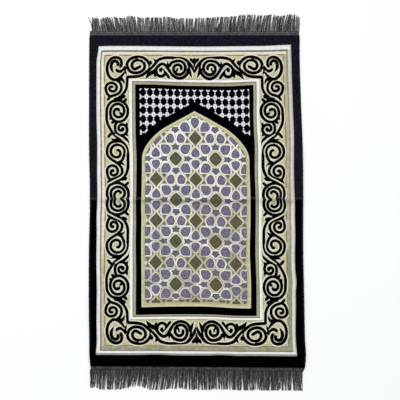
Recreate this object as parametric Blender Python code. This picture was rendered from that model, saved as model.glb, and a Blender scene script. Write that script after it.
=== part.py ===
"""A prayer rug lying flat: one woven pile cloth with a sewn-on fringe along each short end.

Metres, +Z up. +Y points to the end that the niche's point faces, X runs across, and the origin is
on the floor under the middle of the whole rug, fringes included.
"""
import math
import random

import bmesh
import bpy
from mathutils import Vector

# Driving sizes
REACH = 0.600                 # from the middle to the tip of the longest strand, at either end
WOVEN_HALF_WIDTH = 0.340      # of the cloth as it was woven, before it was laid down unevenly
WOVEN_TOP = 0.532
WOVEN_BOTTOM = -0.5265
CLOTH_THICKNESS = 0.0035
TOUCH_GAP = 0.0003            # between the cloth and the tape that is sewn against its end

# The side edges of the cloth as it lies, a row for each station along the rug
SIDE_EDGES = (
    # along, left, right
    (0.532, -0.3455, 0.3320),
    (0.453, -0.3455, 0.3315),
    (0.323, -0.3450, 0.3345),
    (0.161, -0.3435, 0.3395),
    (0.001, -0.3400, 0.3400),
    (-0.158, -0.3420, 0.3390),
    (-0.316, -0.3415, 0.3410),
    (-0.442, -0.3390, 0.3430),
    (-0.489, -0.3385, 0.3455),
    (-0.526, -0.3355, 0.3425),
)

# The two ends of the cloth as it lies, a row for each station across the rug
END_EDGES = (
    # across, top, bottom
    (-0.340, 0.5340, -0.5260),
    (0.000, 0.5320, -0.5265),
    (0.340, 0.5300, -0.5285),
)

# Creases that folding has left, ridges that the cloth stands up in, in the cloth's own sizes
CROSS_CREASE_Y = 0.002
CROSS_CREASE_LIFT = 0.0022
CROSS_CREASE_REACH = 0.055    # how far the cloth stays off the floor on each side of the crease
LONG_CREASE_X = -0.002
LONG_CREASE_LIFT = 0.0014
LONG_CREASE_REACH = 0.045
LONG_CREASE_END = 0.500       # the tapes hold the cloth down, so the long crease dies out here
LONG_CREASE_FADE = 0.080

# Places where the cloth's rim or body stands a little off the floor
SWELLS = (
    # across, along, reach_across, reach_along, lift
    (-0.345, 0.210, 0.060, 0.130, 0.0012),
    (0.340, 0.120, 0.070, 0.150, 0.0016),
    (0.345, -0.300, 0.060, 0.110, 0.0012),
    (-0.340, -0.390, 0.070, 0.090, 0.0010),
    (0.150, 0.300, 0.110, 0.120, 0.0008),
    (-0.160, -0.230, 0.120, 0.110, 0.0008),
)

# Grid of the cloth: coarse stations, and finer ones beside the creases
COARSE_STEP = 0.045
CREASE_OFFSETS = (0.0, 0.006, 0.016, 0.032, 0.055)

# Fringes
STRANDS = 124
TAPE_THICKNESS = 0.0024
TOP_TAPE_WIDTH = 0.0150
BOTTOM_TAPE_WIDTH = 0.0125
TAPE_INSET = 0.0015           # the tape stops this far inside the cloth's side edges
STRAND_ROOT_WIDTH = 0.0040
STRAND_TIP_WIDTH = 0.0021
STRAND_TIP_HEIGHT = 0.0012
STRAND_STATIONS = (0.22, 0.50, 0.78, 1.0)
TIP_WANDER = 0.0011           # sideways, of one strand alone
BELLY_WANDER = 0.0005
SHARED_LEAN = 0.0050          # sideways at the tips, of neighbours together
TOP_SHORTFALL = 0.011         # how much the shortest strand lacks of the longest one
BOTTOM_SHORTFALL = 0.012


def smooth_value(rows, station, column):
    """Reads one column of a table at a station, on a smooth curve through the rows."""
    ordered = sorted(rows)
    stations = [row[0] for row in ordered]
    station = min(max(station, stations[0]), stations[-1])
    index = max(i for i in range(len(ordered) - 1) if stations[i] <= station or i == 0)

    def slope(i):
        before, after = max(i - 1, 0), min(i + 1, len(ordered) - 1)
        rise = ordered[after][column] - ordered[before][column]
        return rise / (stations[after] - stations[before])

    span = stations[index + 1] - stations[index]
    t = (station - stations[index]) / span
    start, end = ordered[index][column], ordered[index + 1][column]
    return (
        start * (2 * t**3 - 3 * t**2 + 1)
        + slope(index) * span * (t**3 - 2 * t**2 + t)
        + end * (3 * t**2 - 2 * t**3)
        + slope(index + 1) * span * (t**3 - t**2)
    )


def ridge(distance, reach):
    """1 on the crease itself, falling to 0 at its reach and landing there without a step."""
    return max(0.0, 1.0 - abs(distance) / reach) ** 2


def fade(distance, length):
    """1 before zero, 0 past the length, smooth in between."""
    t = min(max(distance / length, 0.0), 1.0)
    return 1.0 - t * t * (3.0 - 2.0 * t)


def lift(across, along):
    """How far the underside of the cloth is off the floor, at a point in the cloth's own sizes."""
    cross = CROSS_CREASE_LIFT * ridge(along - CROSS_CREASE_Y, CROSS_CREASE_REACH)
    long_way = LONG_CREASE_LIFT * ridge(across - LONG_CREASE_X, LONG_CREASE_REACH)
    long_way *= fade(abs(along) - LONG_CREASE_END + LONG_CREASE_FADE, LONG_CREASE_FADE)
    height = math.hypot(cross, long_way)
    for swell_across, swell_along, reach_across, reach_along, swell in SWELLS:
        distance = math.hypot(
            (across - swell_across) / reach_across, (along - swell_along) / reach_along
        )
        height += swell * fade(distance, 1.0)
    return height


def lay(across, along):
    """Where a point in the cloth's own sizes, as it was woven, lies on the floor."""
    top = smooth_value(END_EDGES, across, 1)
    bottom = smooth_value(END_EDGES, across, 2)
    y = bottom + (top - bottom) * (along - WOVEN_BOTTOM) / (WOVEN_TOP - WOVEN_BOTTOM)
    left = smooth_value(SIDE_EDGES, y, 1)
    right = smooth_value(SIDE_EDGES, y, 2)
    return (left + right) / 2.0 + across * (right - left) / (2.0 * WOVEN_HALF_WIDTH), y


def grid_stations(start, end, crease):
    """Stations from start to end, close together beside the crease."""
    count = math.ceil((end - start) / COARSE_STEP)
    coarse = [start + (end - start) * i / count for i in range(count + 1)]
    clear = CREASE_OFFSETS[-1] + 0.4 * COARSE_STEP
    stations = [place for place in coarse if abs(place - crease) > clear]
    stations += [crease + offset for offset in CREASE_OFFSETS]
    stations += [crease - offset for offset in CREASE_OFFSETS[1:]]
    return sorted(stations)


def new_object(name, mesh, material):
    """Links a mesh to the scene as a named object with its material."""
    mesh.materials.append(material)
    made = bpy.data.objects.new(name, mesh)
    bpy.context.scene.collection.objects.link(made)
    return made


def cloth_material(name, colour, roughness):
    """A plain dull finish for cloth or yarn."""
    material = bpy.data.materials.new(name)
    material.use_nodes = True
    shader = material.node_tree.nodes["Principled BSDF"]
    shader.inputs["Base Color"].default_value = (*colour, 1.0)
    shader.inputs["Roughness"].default_value = roughness
    shader.inputs["Metallic"].default_value = 0.0
    return material


def add_cloth(material):
    """The cloth: an even sheet that follows the floor, the creases and the swells."""
    columns = grid_stations(-WOVEN_HALF_WIDTH, WOVEN_HALF_WIDTH, LONG_CREASE_X)
    rows = grid_stations(WOVEN_BOTTOM, WOVEN_TOP, CROSS_CREASE_Y)

    mesh_builder = bmesh.new()
    under, upper = [], []
    for along in rows:
        lower_row, upper_row = [], []
        for across in columns:
            x, y = lay(across, along)
            z = lift(across, along)
            lower_row.append(mesh_builder.verts.new((x, y, z)))
            upper_row.append(mesh_builder.verts.new((x, y, z + CLOTH_THICKNESS)))
        under.append(lower_row)
        upper.append(upper_row)

    for j in range(len(rows) - 1):
        for i in range(len(columns) - 1):
            for sheet in (under, upper):
                corners = (sheet[j][i], sheet[j][i + 1], sheet[j + 1][i + 1], sheet[j + 1][i])
                mesh_builder.faces.new(corners)
    rim_lower = rim_of(under)
    rim_upper = rim_of(upper)
    for k in range(len(rim_lower)):
        after = (k + 1) % len(rim_lower)
        mesh_builder.faces.new((rim_lower[k], rim_lower[after], rim_upper[after], rim_upper[k]))
    return finish_mesh("rug", mesh_builder, material)


def rim_of(sheet):
    """The vertices round the edge of a grid, in order."""
    last_row, last_column = len(sheet) - 1, len(sheet[0]) - 1
    rim = [sheet[0][i] for i in range(last_column)]
    rim += [sheet[j][last_column] for j in range(last_row)]
    rim += [sheet[last_row][i] for i in range(last_column, 0, -1)]
    rim += [sheet[j][0] for j in range(last_row, 0, -1)]
    return rim


def finish_mesh(name, mesh_builder, material):
    """Turns the faces outwards and makes the object."""
    bmesh.ops.recalc_face_normals(mesh_builder, faces=mesh_builder.faces)
    mesh = bpy.data.meshes.new(name)
    mesh_builder.to_mesh(mesh)
    mesh_builder.free()
    return new_object(name, mesh, material)


def add_fringe(name, end, tape_width, shortfall, seed, material):
    """A tape along one end of the cloth with its strands; end is 1 at the top, -1 at the bottom."""
    column = 1 if end > 0 else 2
    edge_y = smooth_value(END_EDGES, 0.0, column)
    left = smooth_value(SIDE_EDGES, edge_y, 1) + TAPE_INSET
    right = smooth_value(SIDE_EDGES, edge_y, 2) - TAPE_INSET
    pitch = (right - left) / STRANDS
    roots = [left + pitch * (i + 0.5) for i in range(STRANDS)]
    stations = [left]
    for x in roots:
        stations += [x - STRAND_ROOT_WIDTH / 2.0, x + STRAND_ROOT_WIDTH / 2.0]
    stations.append(right)

    mesh_builder = bmesh.new()
    sections = []
    for x in stations:
        inner = smooth_value(END_EDGES, x, column) + end * TOUCH_GAP
        outer = inner + end * tape_width
        section = ((inner, 0.0), (inner, TAPE_THICKNESS), (outer, TAPE_THICKNESS), (outer, 0.0))
        sections.append([mesh_builder.verts.new((x, y, z)) for y, z in section])

    outer_side = 2
    for k in range(len(sections) - 1):
        here, there = sections[k], sections[k + 1]
        carries_strand = k % 2 == 1
        for side in range(4):
            if side == outer_side and carries_strand:
                continue
            following = (side + 1) % 4
            corners = (here[side], here[following], there[following], there[side])
            mesh_builder.faces.new(corners)
    mesh_builder.faces.new(sections[0])
    mesh_builder.faces.new(sections[-1])

    luck = random.Random(seed)
    wants = [luck.random() for _ in roots]
    least = min(wants)
    for i, x in enumerate(roots):
        here, there = sections[2 * i + 1], sections[2 * i + 2]
        root_ring = (here[3], there[3], there[2], here[2])
        tip_y = end * (REACH - shortfall * (wants[i] - least))
        add_strand(mesh_builder, root_ring, x, tip_y, seed, luck)
    return finish_mesh(name, mesh_builder, material)


def shared_lean(x, seed):
    """The sideways lean that neighbouring strands have in common."""
    slow = math.sin(11.0 * x + seed)
    quick = math.sin(25.0 * x + 2.3 * seed)
    return SHARED_LEAN * (0.7 * slow + 0.3 * quick)


def add_strand(mesh_builder, root_ring, x, tip_y, seed, luck):
    """One four-sided strand: it lies level on the floor, tapers and wanders a little."""
    root_y = root_ring[0].co.y
    belly = luck.uniform(-BELLY_WANDER, BELLY_WANDER)
    tip = luck.uniform(-TIP_WANDER, TIP_WANDER)
    ring = root_ring
    for share in STRAND_STATIONS:
        drift = (tip + shared_lean(x, seed)) * share**1.5 + belly * math.sin(math.pi * share)
        half_width = (STRAND_ROOT_WIDTH + (STRAND_TIP_WIDTH - STRAND_ROOT_WIDTH) * share) / 2.0
        height = TAPE_THICKNESS + (STRAND_TIP_HEIGHT - TAPE_THICKNESS) * share
        centre = Vector((x + drift, root_y + (tip_y - root_y) * share, 0.0))
        offsets = ((-half_width, 0.0), (half_width, 0.0), (half_width, height), (-half_width, height))
        following = [mesh_builder.verts.new(centre + Vector((dx, 0.0, dz))) for dx, dz in offsets]
        for side in range(4):
            after = (side + 1) % 4
            mesh_builder.faces.new((ring[side], ring[after], following[after], following[side]))
        ring = following
    mesh_builder.faces.new(ring)


def clear_scene():
    """Removes what a new file starts with."""
    for leftover in list(bpy.data.objects):
        bpy.data.objects.remove(leftover, do_unlink=True)


def build_rug():
    """Makes the three pieces."""
    pile = cloth_material("pile_cloth", (0.30, 0.28, 0.19), 0.9)
    top_yarn = cloth_material("top_fringe_yarn", (0.10, 0.10, 0.105), 0.7)
    bottom_yarn = cloth_material("bottom_fringe_yarn", (0.10, 0.10, 0.105), 0.7)
    add_cloth(pile)
    add_fringe("fringe_top", 1, TOP_TAPE_WIDTH, TOP_SHORTFALL, 3, top_yarn)
    add_fringe("fringe_bottom", -1, BOTTOM_TAPE_WIDTH, BOTTOM_SHORTFALL, 8, bottom_yarn)


clear_scene()
build_rug()
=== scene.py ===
"""Looks of the prayer rug: its woven pattern, edges, fringes and finish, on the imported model.

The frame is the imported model's: metres, +Z up, the niche's point towards +Y. The pattern is worked
out flat, in millimetres: across from its middle line, along towards the niche's point, and the
height above the cloth's underside. lay_points then puts it on the cloth as it lies.
"""
import functools
import itertools
import math
import random
from collections import namedtuple

import bmesh
import bpy
import numpy as np
from mathutils import Matrix, Vector


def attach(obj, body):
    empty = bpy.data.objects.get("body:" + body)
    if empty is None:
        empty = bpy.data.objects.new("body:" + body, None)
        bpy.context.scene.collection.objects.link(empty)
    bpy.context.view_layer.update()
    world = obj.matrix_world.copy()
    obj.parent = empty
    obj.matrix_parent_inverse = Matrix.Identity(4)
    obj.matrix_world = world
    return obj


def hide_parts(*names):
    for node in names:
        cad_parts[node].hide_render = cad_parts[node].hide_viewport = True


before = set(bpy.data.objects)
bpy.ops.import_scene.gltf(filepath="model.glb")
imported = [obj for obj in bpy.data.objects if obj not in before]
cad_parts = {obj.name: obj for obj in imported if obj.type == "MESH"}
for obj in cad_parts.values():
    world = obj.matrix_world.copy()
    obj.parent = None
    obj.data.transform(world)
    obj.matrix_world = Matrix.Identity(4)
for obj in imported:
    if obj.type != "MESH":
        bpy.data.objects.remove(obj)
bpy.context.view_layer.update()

# ---- the cloth as it lies, in metres

WOVEN_HALF_WIDTH = 0.340
WOVEN_TOP = 0.532
WOVEN_BOTTOM = -0.5265
REACH = 0.600
TOUCH_GAP = 0.0003

SIDE_EDGES = (
    # along, left, right
    (0.532, -0.3455, 0.3320),
    (0.453, -0.3455, 0.3315),
    (0.323, -0.3450, 0.3345),
    (0.161, -0.3435, 0.3395),
    (0.001, -0.3400, 0.3400),
    (-0.158, -0.3420, 0.3390),
    (-0.316, -0.3415, 0.3410),
    (-0.442, -0.3390, 0.3430),
    (-0.489, -0.3385, 0.3455),
    (-0.526, -0.3355, 0.3425),
)
END_EDGES = (
    # across, top, bottom
    (-0.340, 0.5340, -0.5260),
    (0.000, 0.5320, -0.5265),
    (0.340, 0.5300, -0.5285),
)

CROSS_CREASE_Y = 0.002
CROSS_CREASE_LIFT = 0.0022
CROSS_CREASE_REACH = 0.055
LONG_CREASE_X = -0.002
LONG_CREASE_LIFT = 0.0014
LONG_CREASE_REACH = 0.045
LONG_CREASE_END = 0.500
LONG_CREASE_FADE = 0.080
CREASE_OFFSETS = (0.0, 3.0, 8.0, 15.0, 24.0, 34.0, 45.0, 55.0)  # stations beside a crease, in mm

SWELLS = (
    # across, along, reach across, reach along, lift
    (-0.345, 0.210, 0.060, 0.130, 0.0012),
    (0.340, 0.120, 0.070, 0.150, 0.0016),
    (0.345, -0.300, 0.060, 0.110, 0.0012),
    (-0.340, -0.390, 0.070, 0.090, 0.0010),
    (0.150, 0.300, 0.110, 0.120, 0.0008),
    (-0.160, -0.230, 0.120, 0.110, 0.0008),
)

# ---- the pattern, in millimetres

PATTERN_MIDDLE = -1.0         # the pattern was woven this far off the cloth's own middle
PATTERN_EDGE = 316.0          # outside this the offset eases out towards the cloth's side edges
HALF_WIDTH = 1000.0 * WOVEN_HALF_WIDTH
TOP = 1000.0 * WOVEN_TOP
BOTTOM = 1000.0 * WOVEN_BOTTOM

DRIFT_EASE = 20.0             # the strip inside the cloth's edges over which the drifts set in
DRIFTS = (
    # Where the weave was pulled out of true: across, along, reach across, reach along, and how far
    # it was pulled across and along
    (-320, 505, 60, 65, 7.0, -1.0),
    (-318, 180, 40, 110, 2.0, 0.0),
    (-318, -55, 40, 60, -1.8, 0.0),
    (-318, -290, 40, 110, 1.8, 0.0),
    (-318, -495, 60, 50, -3.5, 0.0),
    (318, 100, 40, 130, -3.0, 0.0),
    (318, -110, 40, 60, 1.4, 0.0),
    (318, -255, 40, 40, 3.2, 0.0),
    (318, -430, 40, 120, -3.0, 0.0),
    (20, 498, 260, 40, 0.0, -2.2),
    (318, 505, 100, 70, -1.5, 3.5),
    (50, 372, 220, 60, 0.0, -5.0),
    (-190, 130, 40, 90, 1.9, 0.0),
    (-190, -20, 40, 50, -1.2, 0.0),
    (-190, -230, 40, 120, 1.6, 0.0),
    (270, 400, 50, 90, -3.5, 3.0),
    (115, 320, 105, 85, 0.0, -4.0),
    (-40, 325, 110, 80, 0.0, -2.0),
    (290, 0, 30, 200, -2.2, 0.0),
    (190, 350, 45, 80, 0.5, 0.0),
    (200, 250, 30, 110, -2.5, 0.0),
    (-172, -100, 30, 260, -1.2, 0.0),
    (172, 60, 30, 100, 1.5, 0.0),
    (172, -250, 30, 110, 1.3, 0.0),
    (190, 90, 40, 90, -2.4, 0.0),
    (180, -290, 60, 150, 2.0, 0.0),
    (165, -60, 40, 120, 2.0, 0.0),
    (-165, 0, 40, 100, -1.4, 0.0),
    (0, -342, 260, 60, 0.0, 5.5),
    (127, -60, 110, 520, 0.6, -4.6),
    (-127, -60, 110, 520, 0.4, 1.5),
    (0, -402, 220, 26, 0.0, 3.0),
    (0, -448, 230, 20, 0.0, -3.0),
    (0, -495, 260, 22, 0.0, -0.5),
    (-130, -495, 60, 22, 0.0, 2.0),
    (75, -495, 50, 22, 0.0, 2.0),
)

# Heights above the cloth's underside
SUNK = 2.6                    # the foot of every raised piece, inside the cloth
GROUND = 2.9                  # flat-woven ground
CORD = 3.15                   # the pale outline beside a scroll
RIB = 3.35                    # pale lines and frames
PILE = 3.7                    # cut pile
STEP = 0.25                   # half the width of the step between two bands
CLOTH_RIM = 0.5               # the outermost strip of the cloth is this wide, and lower by the drop
CLOTH_RIM_DROP = 0.8
GRID_STEP = 12.0              # the widest of the cells that the cloth is built of, and the narrowest
LEAST_GRID_STEP = 0.3

# Frames of the pattern, from the outermost to the innermost: the last that holds a place colours it
BANDS = (
    # yarn, half width, top, bottom, height
    ("black_pile", 340.5, 532.5, -527.0, PILE),
    # painted shadow: the outer rim of the white frame, greyer than the frame itself
    ("dull_white", 315.5, 498.5, -490.5, RIB),
    ("white_yarn", 312.0, 495.5, -484.5, RIB),
    ("outer_grey", 304.5, 484.8, -478.0, GROUND),
    ("cream_yarn", 300.0, 478.8, -475.0, RIB),
    ("brown_line", 291.5, 470.2, -463.0, GROUND),
    ("gold_ground", 288.0, 466.3, -459.5, GROUND),
    # painted shade: a greyer strip of gold just above and below the inner white frame
    ("worn_gold", 209.5, 393.4, -382.0, GROUND),
    ("inner_white", 209.5, 390.8, -378.5, RIB),
    ("grey_line", 201.0, 384.0, -372.0, GROUND),
    ("olive_band", 198.5, 380.5, -369.5, RIB),
    ("niche_pile", 190.5, 373.2, -365.4, PILE - 0.3),
)

# The scrollwork of one quarter, the upper left. A route is a row of places and turns. A turn runs round
# its centre from its start side, with the hand 1 for leftwards and -1 for rightwards, and its radii
# are those at each following quarter.
Turn = namedtuple("Turn", "across along start hand radii quarters")
SIDE_ANGLES = {"right": 0.0, "top": 90.0, "left": 180.0, "bottom": 270.0}

MIDDLE_ALONG = 4.0            # the scrollwork's own middle; along is counted from it in the table
SCROLLWORK = (
    # name, width, start, finish, route
    ("inner stem, end", 9.0, "butt", "point", (
        (-215.5, 393.5), (-197, 394), (-180.5, 395.5), (-166, 400), (-155, 408.5), (-143.5, 418),
        (-133, 427.5), (-124, 437.5), (-114.5, 448.5), (-102.5, 453.5), (-86.5, 456), (-57.5, 454.5),
        (-39.5, 453.5), (-27.5, 449.5), (-17.5, 441), (-8, 429), (-1.5, 415.5), (1, 405.5))),
    ("inner stem, side", 9.0, "butt", "butt", (
        (-215.5, 395.5), (-216, 377), (-218, 358.5), (-226, 342), (-236, 331.5), (-249, 321.5),
        (-270, 310), (-280.5, 294), (-282.5, 273), (-282, 252), (-277.5, 237), (-269.5, 222),
        (-260, 207.5), (-246.5, 195.5), (-234, 183.5), (-223, 172.5), (-217.5, 158.5),
        (-216, 141), (-216, 121.5), (-216.5, 99), (-221, 83), (-228.5, 71), (-245.5, 59.5),
        (-264.5, 51.5), (-278.5, 39.5), (-283.5, 26), (-284, 12.5), (-279.5, -1.5))),
    ("corner ring", 9.0, "round", "butt", (
        (-240.5, 423.5), (-235, 432), (-234.5, 442.5), (-239.5, 452.5), (-251, 457), (-265, 454),
        (-275.5, 443), (-280.5, 429), (-280.5, 411.5), (-275, 396.5), (-264.5, 386),
        (-254.5, 384), (-242.5, 389), (-232.5, 399), (-226, 412.5), (-222, 428))),
    ("corner curl", 10.0, "round", "point", (
        (-249, 429), (-245.5, 436.5), (-249, 443), (-256, 445.5), (-263.5, 441), (-267.5, 431),
        (-266.5, 419), (-259, 405.5))),
    ("corner hook", 9.5, "butt", "round", (
        (-222, 425), (-227.5, 417), (-236, 411.5), (-244, 411.5), (-250, 416), (-251.5, 420))),
    ("corner spur", 8.5, "butt", "point", ((-225, 417.5), (-217.5, 399))),
    ("corner leaf", 12.5, "butt", "point", ((-240.5, 388), (-230.5, 383.5), (-224, 369.5))),
    ("first arm", 9.0, "butt", "round", (
        (-250.5, 384), (-239.5, 375), (-234.5, 360.5), (-238, 347), (-249, 337), (-265, 331.5),
        (-272, 328), (-280.5, 317))),
    ("first scroll", 9.0, "butt", "round", (
        (-273, 331.5), (-281, 339.5),
        Turn(-266.5, 357.5, "left", -1, (19, 16.5, 16.5, 10.5, 6.5, 4, 4.5), 6))),
    ("second scroll", 9.0, "butt", "round", (
        (-260.5, 314.5),
        Turn(-246, 281, "top", -1, (36, 32, 33, 24.5, 25, 20, 18, 12.8, 8.3, 2.3), 9))),
    ("second scroll, eye", 10.0, "round", "round", ((-251.5, 290), (-246.5, 284.5))),
    ("second scroll, hook", 8.5, "butt", "round", ((-230, 270.5), (-236.5, 274), (-241.5, 278.5))),
    ("second scroll, spur", 7.5, "butt", "round", ((-267, 266.5), (-272, 254.5))),
    ("second scroll, leaf", 9.5, "butt", "round", ((-255.5, 253.5), (-267.5, 242.5))),
    ("second scroll, crotch", 14.0, "butt", "butt", ((-258.5, 318.5), (-245, 321.5), (-233, 324))),
    ("second scroll, upper tip", 12.0, "butt", "round", ((-244, 325), (-231, 328), (-222, 333.5))),
    ("second scroll, lower tip", 10.0, "butt", "round", (
        (-232, 311), (-224.5, 315), (-218, 323.5))),
    ("third scroll", 9.0, "butt", "round", (
        (-249.5, 247), (-255, 237.5),
        Turn(-235, 224.5, "left", 1, (20.5, 20.5, 17.8, 14.5, 8.8, 4.8, 5.5, 2.5), 7))),
    ("third scroll, spur", 7.0, "butt", "round", ((-218.5, 232.5), (-217, 245.5))),
    ("third scroll, leaf", 7.0, "butt", "round", ((-220.5, 211.5), (-215.5, 202))),
    ("third scroll, tail", 9.0, "butt", "point", (
        (-235.5, 204), (-223.5, 195.5), (-216, 186), (-211.5, 173))),
    ("third scroll, eye", 10.0, "round", "round", ((-233.5, 227.5), (-233.5, 218.5))),
    ("stem thorn", 9.5, "butt", "round", ((-268, 210.5), (-280, 196.5))),
    ("stem leaf", 11.0, "butt", "point", ((-246.5, 188), (-258, 189), (-271, 194))),
    ("fourth arm", 9.0, "butt", "round", (
        (-223, 172.5), (-235, 181.5), (-250, 184.5), (-265, 182.5), (-276, 173.5), (-282, 157),
        (-280.5, 141), (-270, 128), (-255.5, 118.5), (-244.5, 110), (-236.5, 99), (-234.5, 86),
        (-240, 75), (-251.5, 68), (-267.5, 63), (-274, 59.5), (-282.5, 50))),
    ("fourth scroll", 9.0, "butt", "round", (
        (-244, 117), (-234.5, 124),
        Turn(-248, 150.5, "right", 1, (22.6, 23.6, 22, 16.5, 7.5, 6.5, 3), 5.5))),
    ("fourth scroll, leaf", 10.0, "butt", "point", ((-249, 116.5), (-236.5, 115), (-224.5, 106))),
    ("fifth scroll", 9.0, "butt", "round", (
        (-273.5, 61.5), (-279.5, 70),
        Turn(-265.5, 87, "left", -1, (17.7, 20, 16.5, 11, 5, 4.8, 4), 6))),
    ("fifth scroll, eye", 10.0, "round", "round", ((-267, 92.5), (-261, 86.5))),
    ("fifth scroll, upper tip", 9.5, "butt", "round", ((-237, 62.5), (-227.5, 63), (-219.5, 69))),
    ("fifth scroll, lower tip", 8.5, "butt", "round", ((-231, 40.5), (-223, 45.5), (-214, 54))),
    ("eight, outer", 9.5, "butt", "butt", (
        (-270, 46.5), (-258.5, 51), (-242.5, 50), (-228, 42), (-219, 31.5), (-215.5, 17),
        (-216.5, 5), (-220, -1.5))),
    ("eight, middle", 9.0, "butt", "round", (
        (-268, -1.5), (-271, 9), (-271, 23.5), (-264.5, 33), (-250.5, 38.5), (-238, 35.5),
        (-229.5, 27), (-227.5, 16.5), (-230, 8.5), (-235, 3), (-243, 0))),
    ("eight, inner", 9.0, "butt", "round", (
        (-257, -1.5), (-260, 6), (-260.5, 14), (-256, 21.5), (-248, 25.5), (-240.5, 21.5),
        (-243.5, 16))),
    ("oval scroll, arm", 9.0, "butt", "butt", (
        (-217.5, 429), (-213.5, 443), (-202.5, 453.5), (-182, 458.5), (-163, 455),
        (-150.5, 445.5), (-143, 432.5), (-142.5, 420.5))),
    ("oval scroll", 9.0, "butt", "round", (
        Turn(-180, 429, "left", 1, (36, 21.5, 21, 19.5, 20.5, 9.5), 4.5),
        (-186, 420.5), (-178, 425), (-170, 429.5))),
    ("bud", 10.0, "butt", "round", ((-141.5, 427), (-140, 437), (-140.5, 446.5))),
    ("barb", 15.0, "butt", "point", ((-119, 438.5), (-123, 444), (-130.5, 454))),
    ("wave", 9.0, "point", "butt", (
        (-156.5, 388), (-146.5, 403), (-132.5, 410), (-123, 418), (-115.5, 428),
        (-106.5, 434.5), (-97.5, 435), (-88.5, 428), (-80, 415), (-71.5, 402.5), (-61, 394.5),
        Turn(-48.5, 419.5, "bottom", 1, (29, 31), 1), (-17, 428), (-17, 438))),
    ("wave, wedge", 13.5, "point", "butt", ((-155, 388), (-140, 405), (-122.5, 411.5))),
    ("small scroll", 9.0, "butt", "round", (
        (-121.5, 422.5), Turn(-106.5, 410, "left", 1, (14.5, 14.5, 14, 12.5), 3),
        (-109, 419.5), (-106, 411.5))),
    ("small scroll, eye", 12.0, "round", "round", ((-109.5, 418.5), (-104.5, 410))),
    ("small scroll, spike", 8.0, "butt", "round", ((-125, 412.5), (-125.5, 393))),
    ("small scroll, leaf", 9.0, "butt", "round", ((-94.5, 413), (-78.5, 389.5))),
    ("wave, spur", 19.0, "butt", "point", ((-83.5, 424), (-85, 443.5))),
    ("last scroll", 9.0, "butt", "round", (
        (-80, 428), (-69.5, 440.5),
        Turn(-48.5, 421.5, "top", -1, (24.5, 21, 19.5, 17, 11, 8, 8.5), 5.6))),
    ("last scroll, hook", 5.5, "butt", "round", ((-58.5, 410), (-53.5, 416.5), (-53, 423))),
    ("leg", 9.5, "butt", "point", ((-16.5, 437), (-17, 422.5), (-14.5, 412), (-6.5, 392))),
    ("crown, middle lobe", 9.0, "point", "round", ((1.5, 424), (2, 455))),
    ("crown, side lobe", 9.0, "butt", "round", ((2, 438.5), (-12.5, 453))),
)
PALE_LINES = (
    # name, width, route of the pale yarn that parts strands standing close together
    ("corner hook", 3.0, ((-225, 413), (-231.5, 407.5), (-238, 399.5))),
    ("third scroll, tail", 4.0, ((-256, 208.5), (-238, 196.5), (-221, 184.5), (-213, 176))),
    ("fourth scroll", 3.5, (Turn(-248, 150.5, "top", -1, (29.4, 27.7, 28), 1.35),)),
    ("fifth scroll", 4.5, ((-282, 47.5), (-260, 59), (-238.5, 70), (-230, 78))),
    ("oval scroll", 3.2, ((-181, 453.5), (-167, 450.5), (-159, 442.5))),
    ("barb", 3.2, ((-133.5, 448.5), (-131, 441), (-142.5, 425))),
    ("small scroll", 3.2, ((-117, 413), (-112.5, 421.5), (-104, 427))),
    ("small scroll, leaf", 4.5, ((-104, 427), (-89, 413.5), (-71.5, 391.5))),
    ("last scroll", 3.2, (
        (-68.5, 447.5), (-60, 450.5), Turn(-48.5, 421.5, "top", -1, (30, 28), 1))),
)
QUARTERS = (
    # side, end, shift beside the ends, shift along the sides, bulge along
    (-1, 1, 0.0, 0.0, 0.0),
    (1, 1, 4.0, -0.5, 0.0),
    (-1, -1, -1.5, 0.0, 3.0),
    (1, -1, 3.0, 1.0, 3.0),
)
END_BORDER_START = 330.0      # along, from the middle
END_BORDER_EASE = 60.0
BULGE_LENGTH = 420.0
OUTLINE_WIDTH = 3.8           # of the pale yarn on each side of a scroll
POINT_LENGTH = 3.2            # of a pointed end, in half widths
POINT_LEAST = 0.04            # share of its width that a point starts with
POINT_FULLNESS = 0.7          # 1 is a straight taper, less is a fuller one
ROUND_END_LEAST = 0.03        # the square of the share that a round end starts with
TURN_STEPS = 4                # places on each quarter of a turn
CURVE_STEP = 0.5              # of the fine curve through a route
STRAIGHT_STEPS = 24
STATION_STEP = 2.4            # the furthest that a stroke's stations are apart, and their turn
STATION_TURN = math.radians(16.0)
END_STEP = 0.28               # the same near a stroke's ends, in half widths
PILE_SPREAD = 0.8             # how much wider a scroll's pile stands than it was woven
END_PILE_SPREAD = 1.5         # the same in the borders along the two ends

# The niche: straight sides, one arc on each side, and straight slopes up to the point
ARCH_HALF_WIDTH = 172.0       # outside of the gold band
ARCH_APEX = 287.0
ARCH_BOTTOM = -342.3
ARCH_SHOULDER_CENTRE = (92.0, 126.9)
ARCH_SHOULDER_RADIUS = 80.0
ARCH_SHOULDER_END = math.radians(31.0)
ARCH_ARC_CENTRE = (-6.6, 67.7)
ARCH_ARC_RADIUS = 195.0
ARCH_ARC_END = math.radians(58.0)
ARCH_SLOPE_COSINE = 0.8735    # of the slopes beside the point, from level
ARCH_BAND = 11.5
ARCH_BAND_BOTTOM = 13.5
ARC_STEPS, SLOPE_STEPS, FLOOR_STEPS, WALL_STEPS = 6, 10, 24, 48
PLATE_OVERLAP = 3.0           # of the field's ground under the gold band
PLATE_ROWS, PLATE_COLUMNS = 44, 32
PLATE_TIP, PLATE_TIP_DROP = 1.0, 0.6  # its half width at the apex, and how far below that it is
PLATE_UNDER = 0.2             # below the pile
BLACK_ARCH = 27.0             # width of the black band between the niche and the lattice

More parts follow.
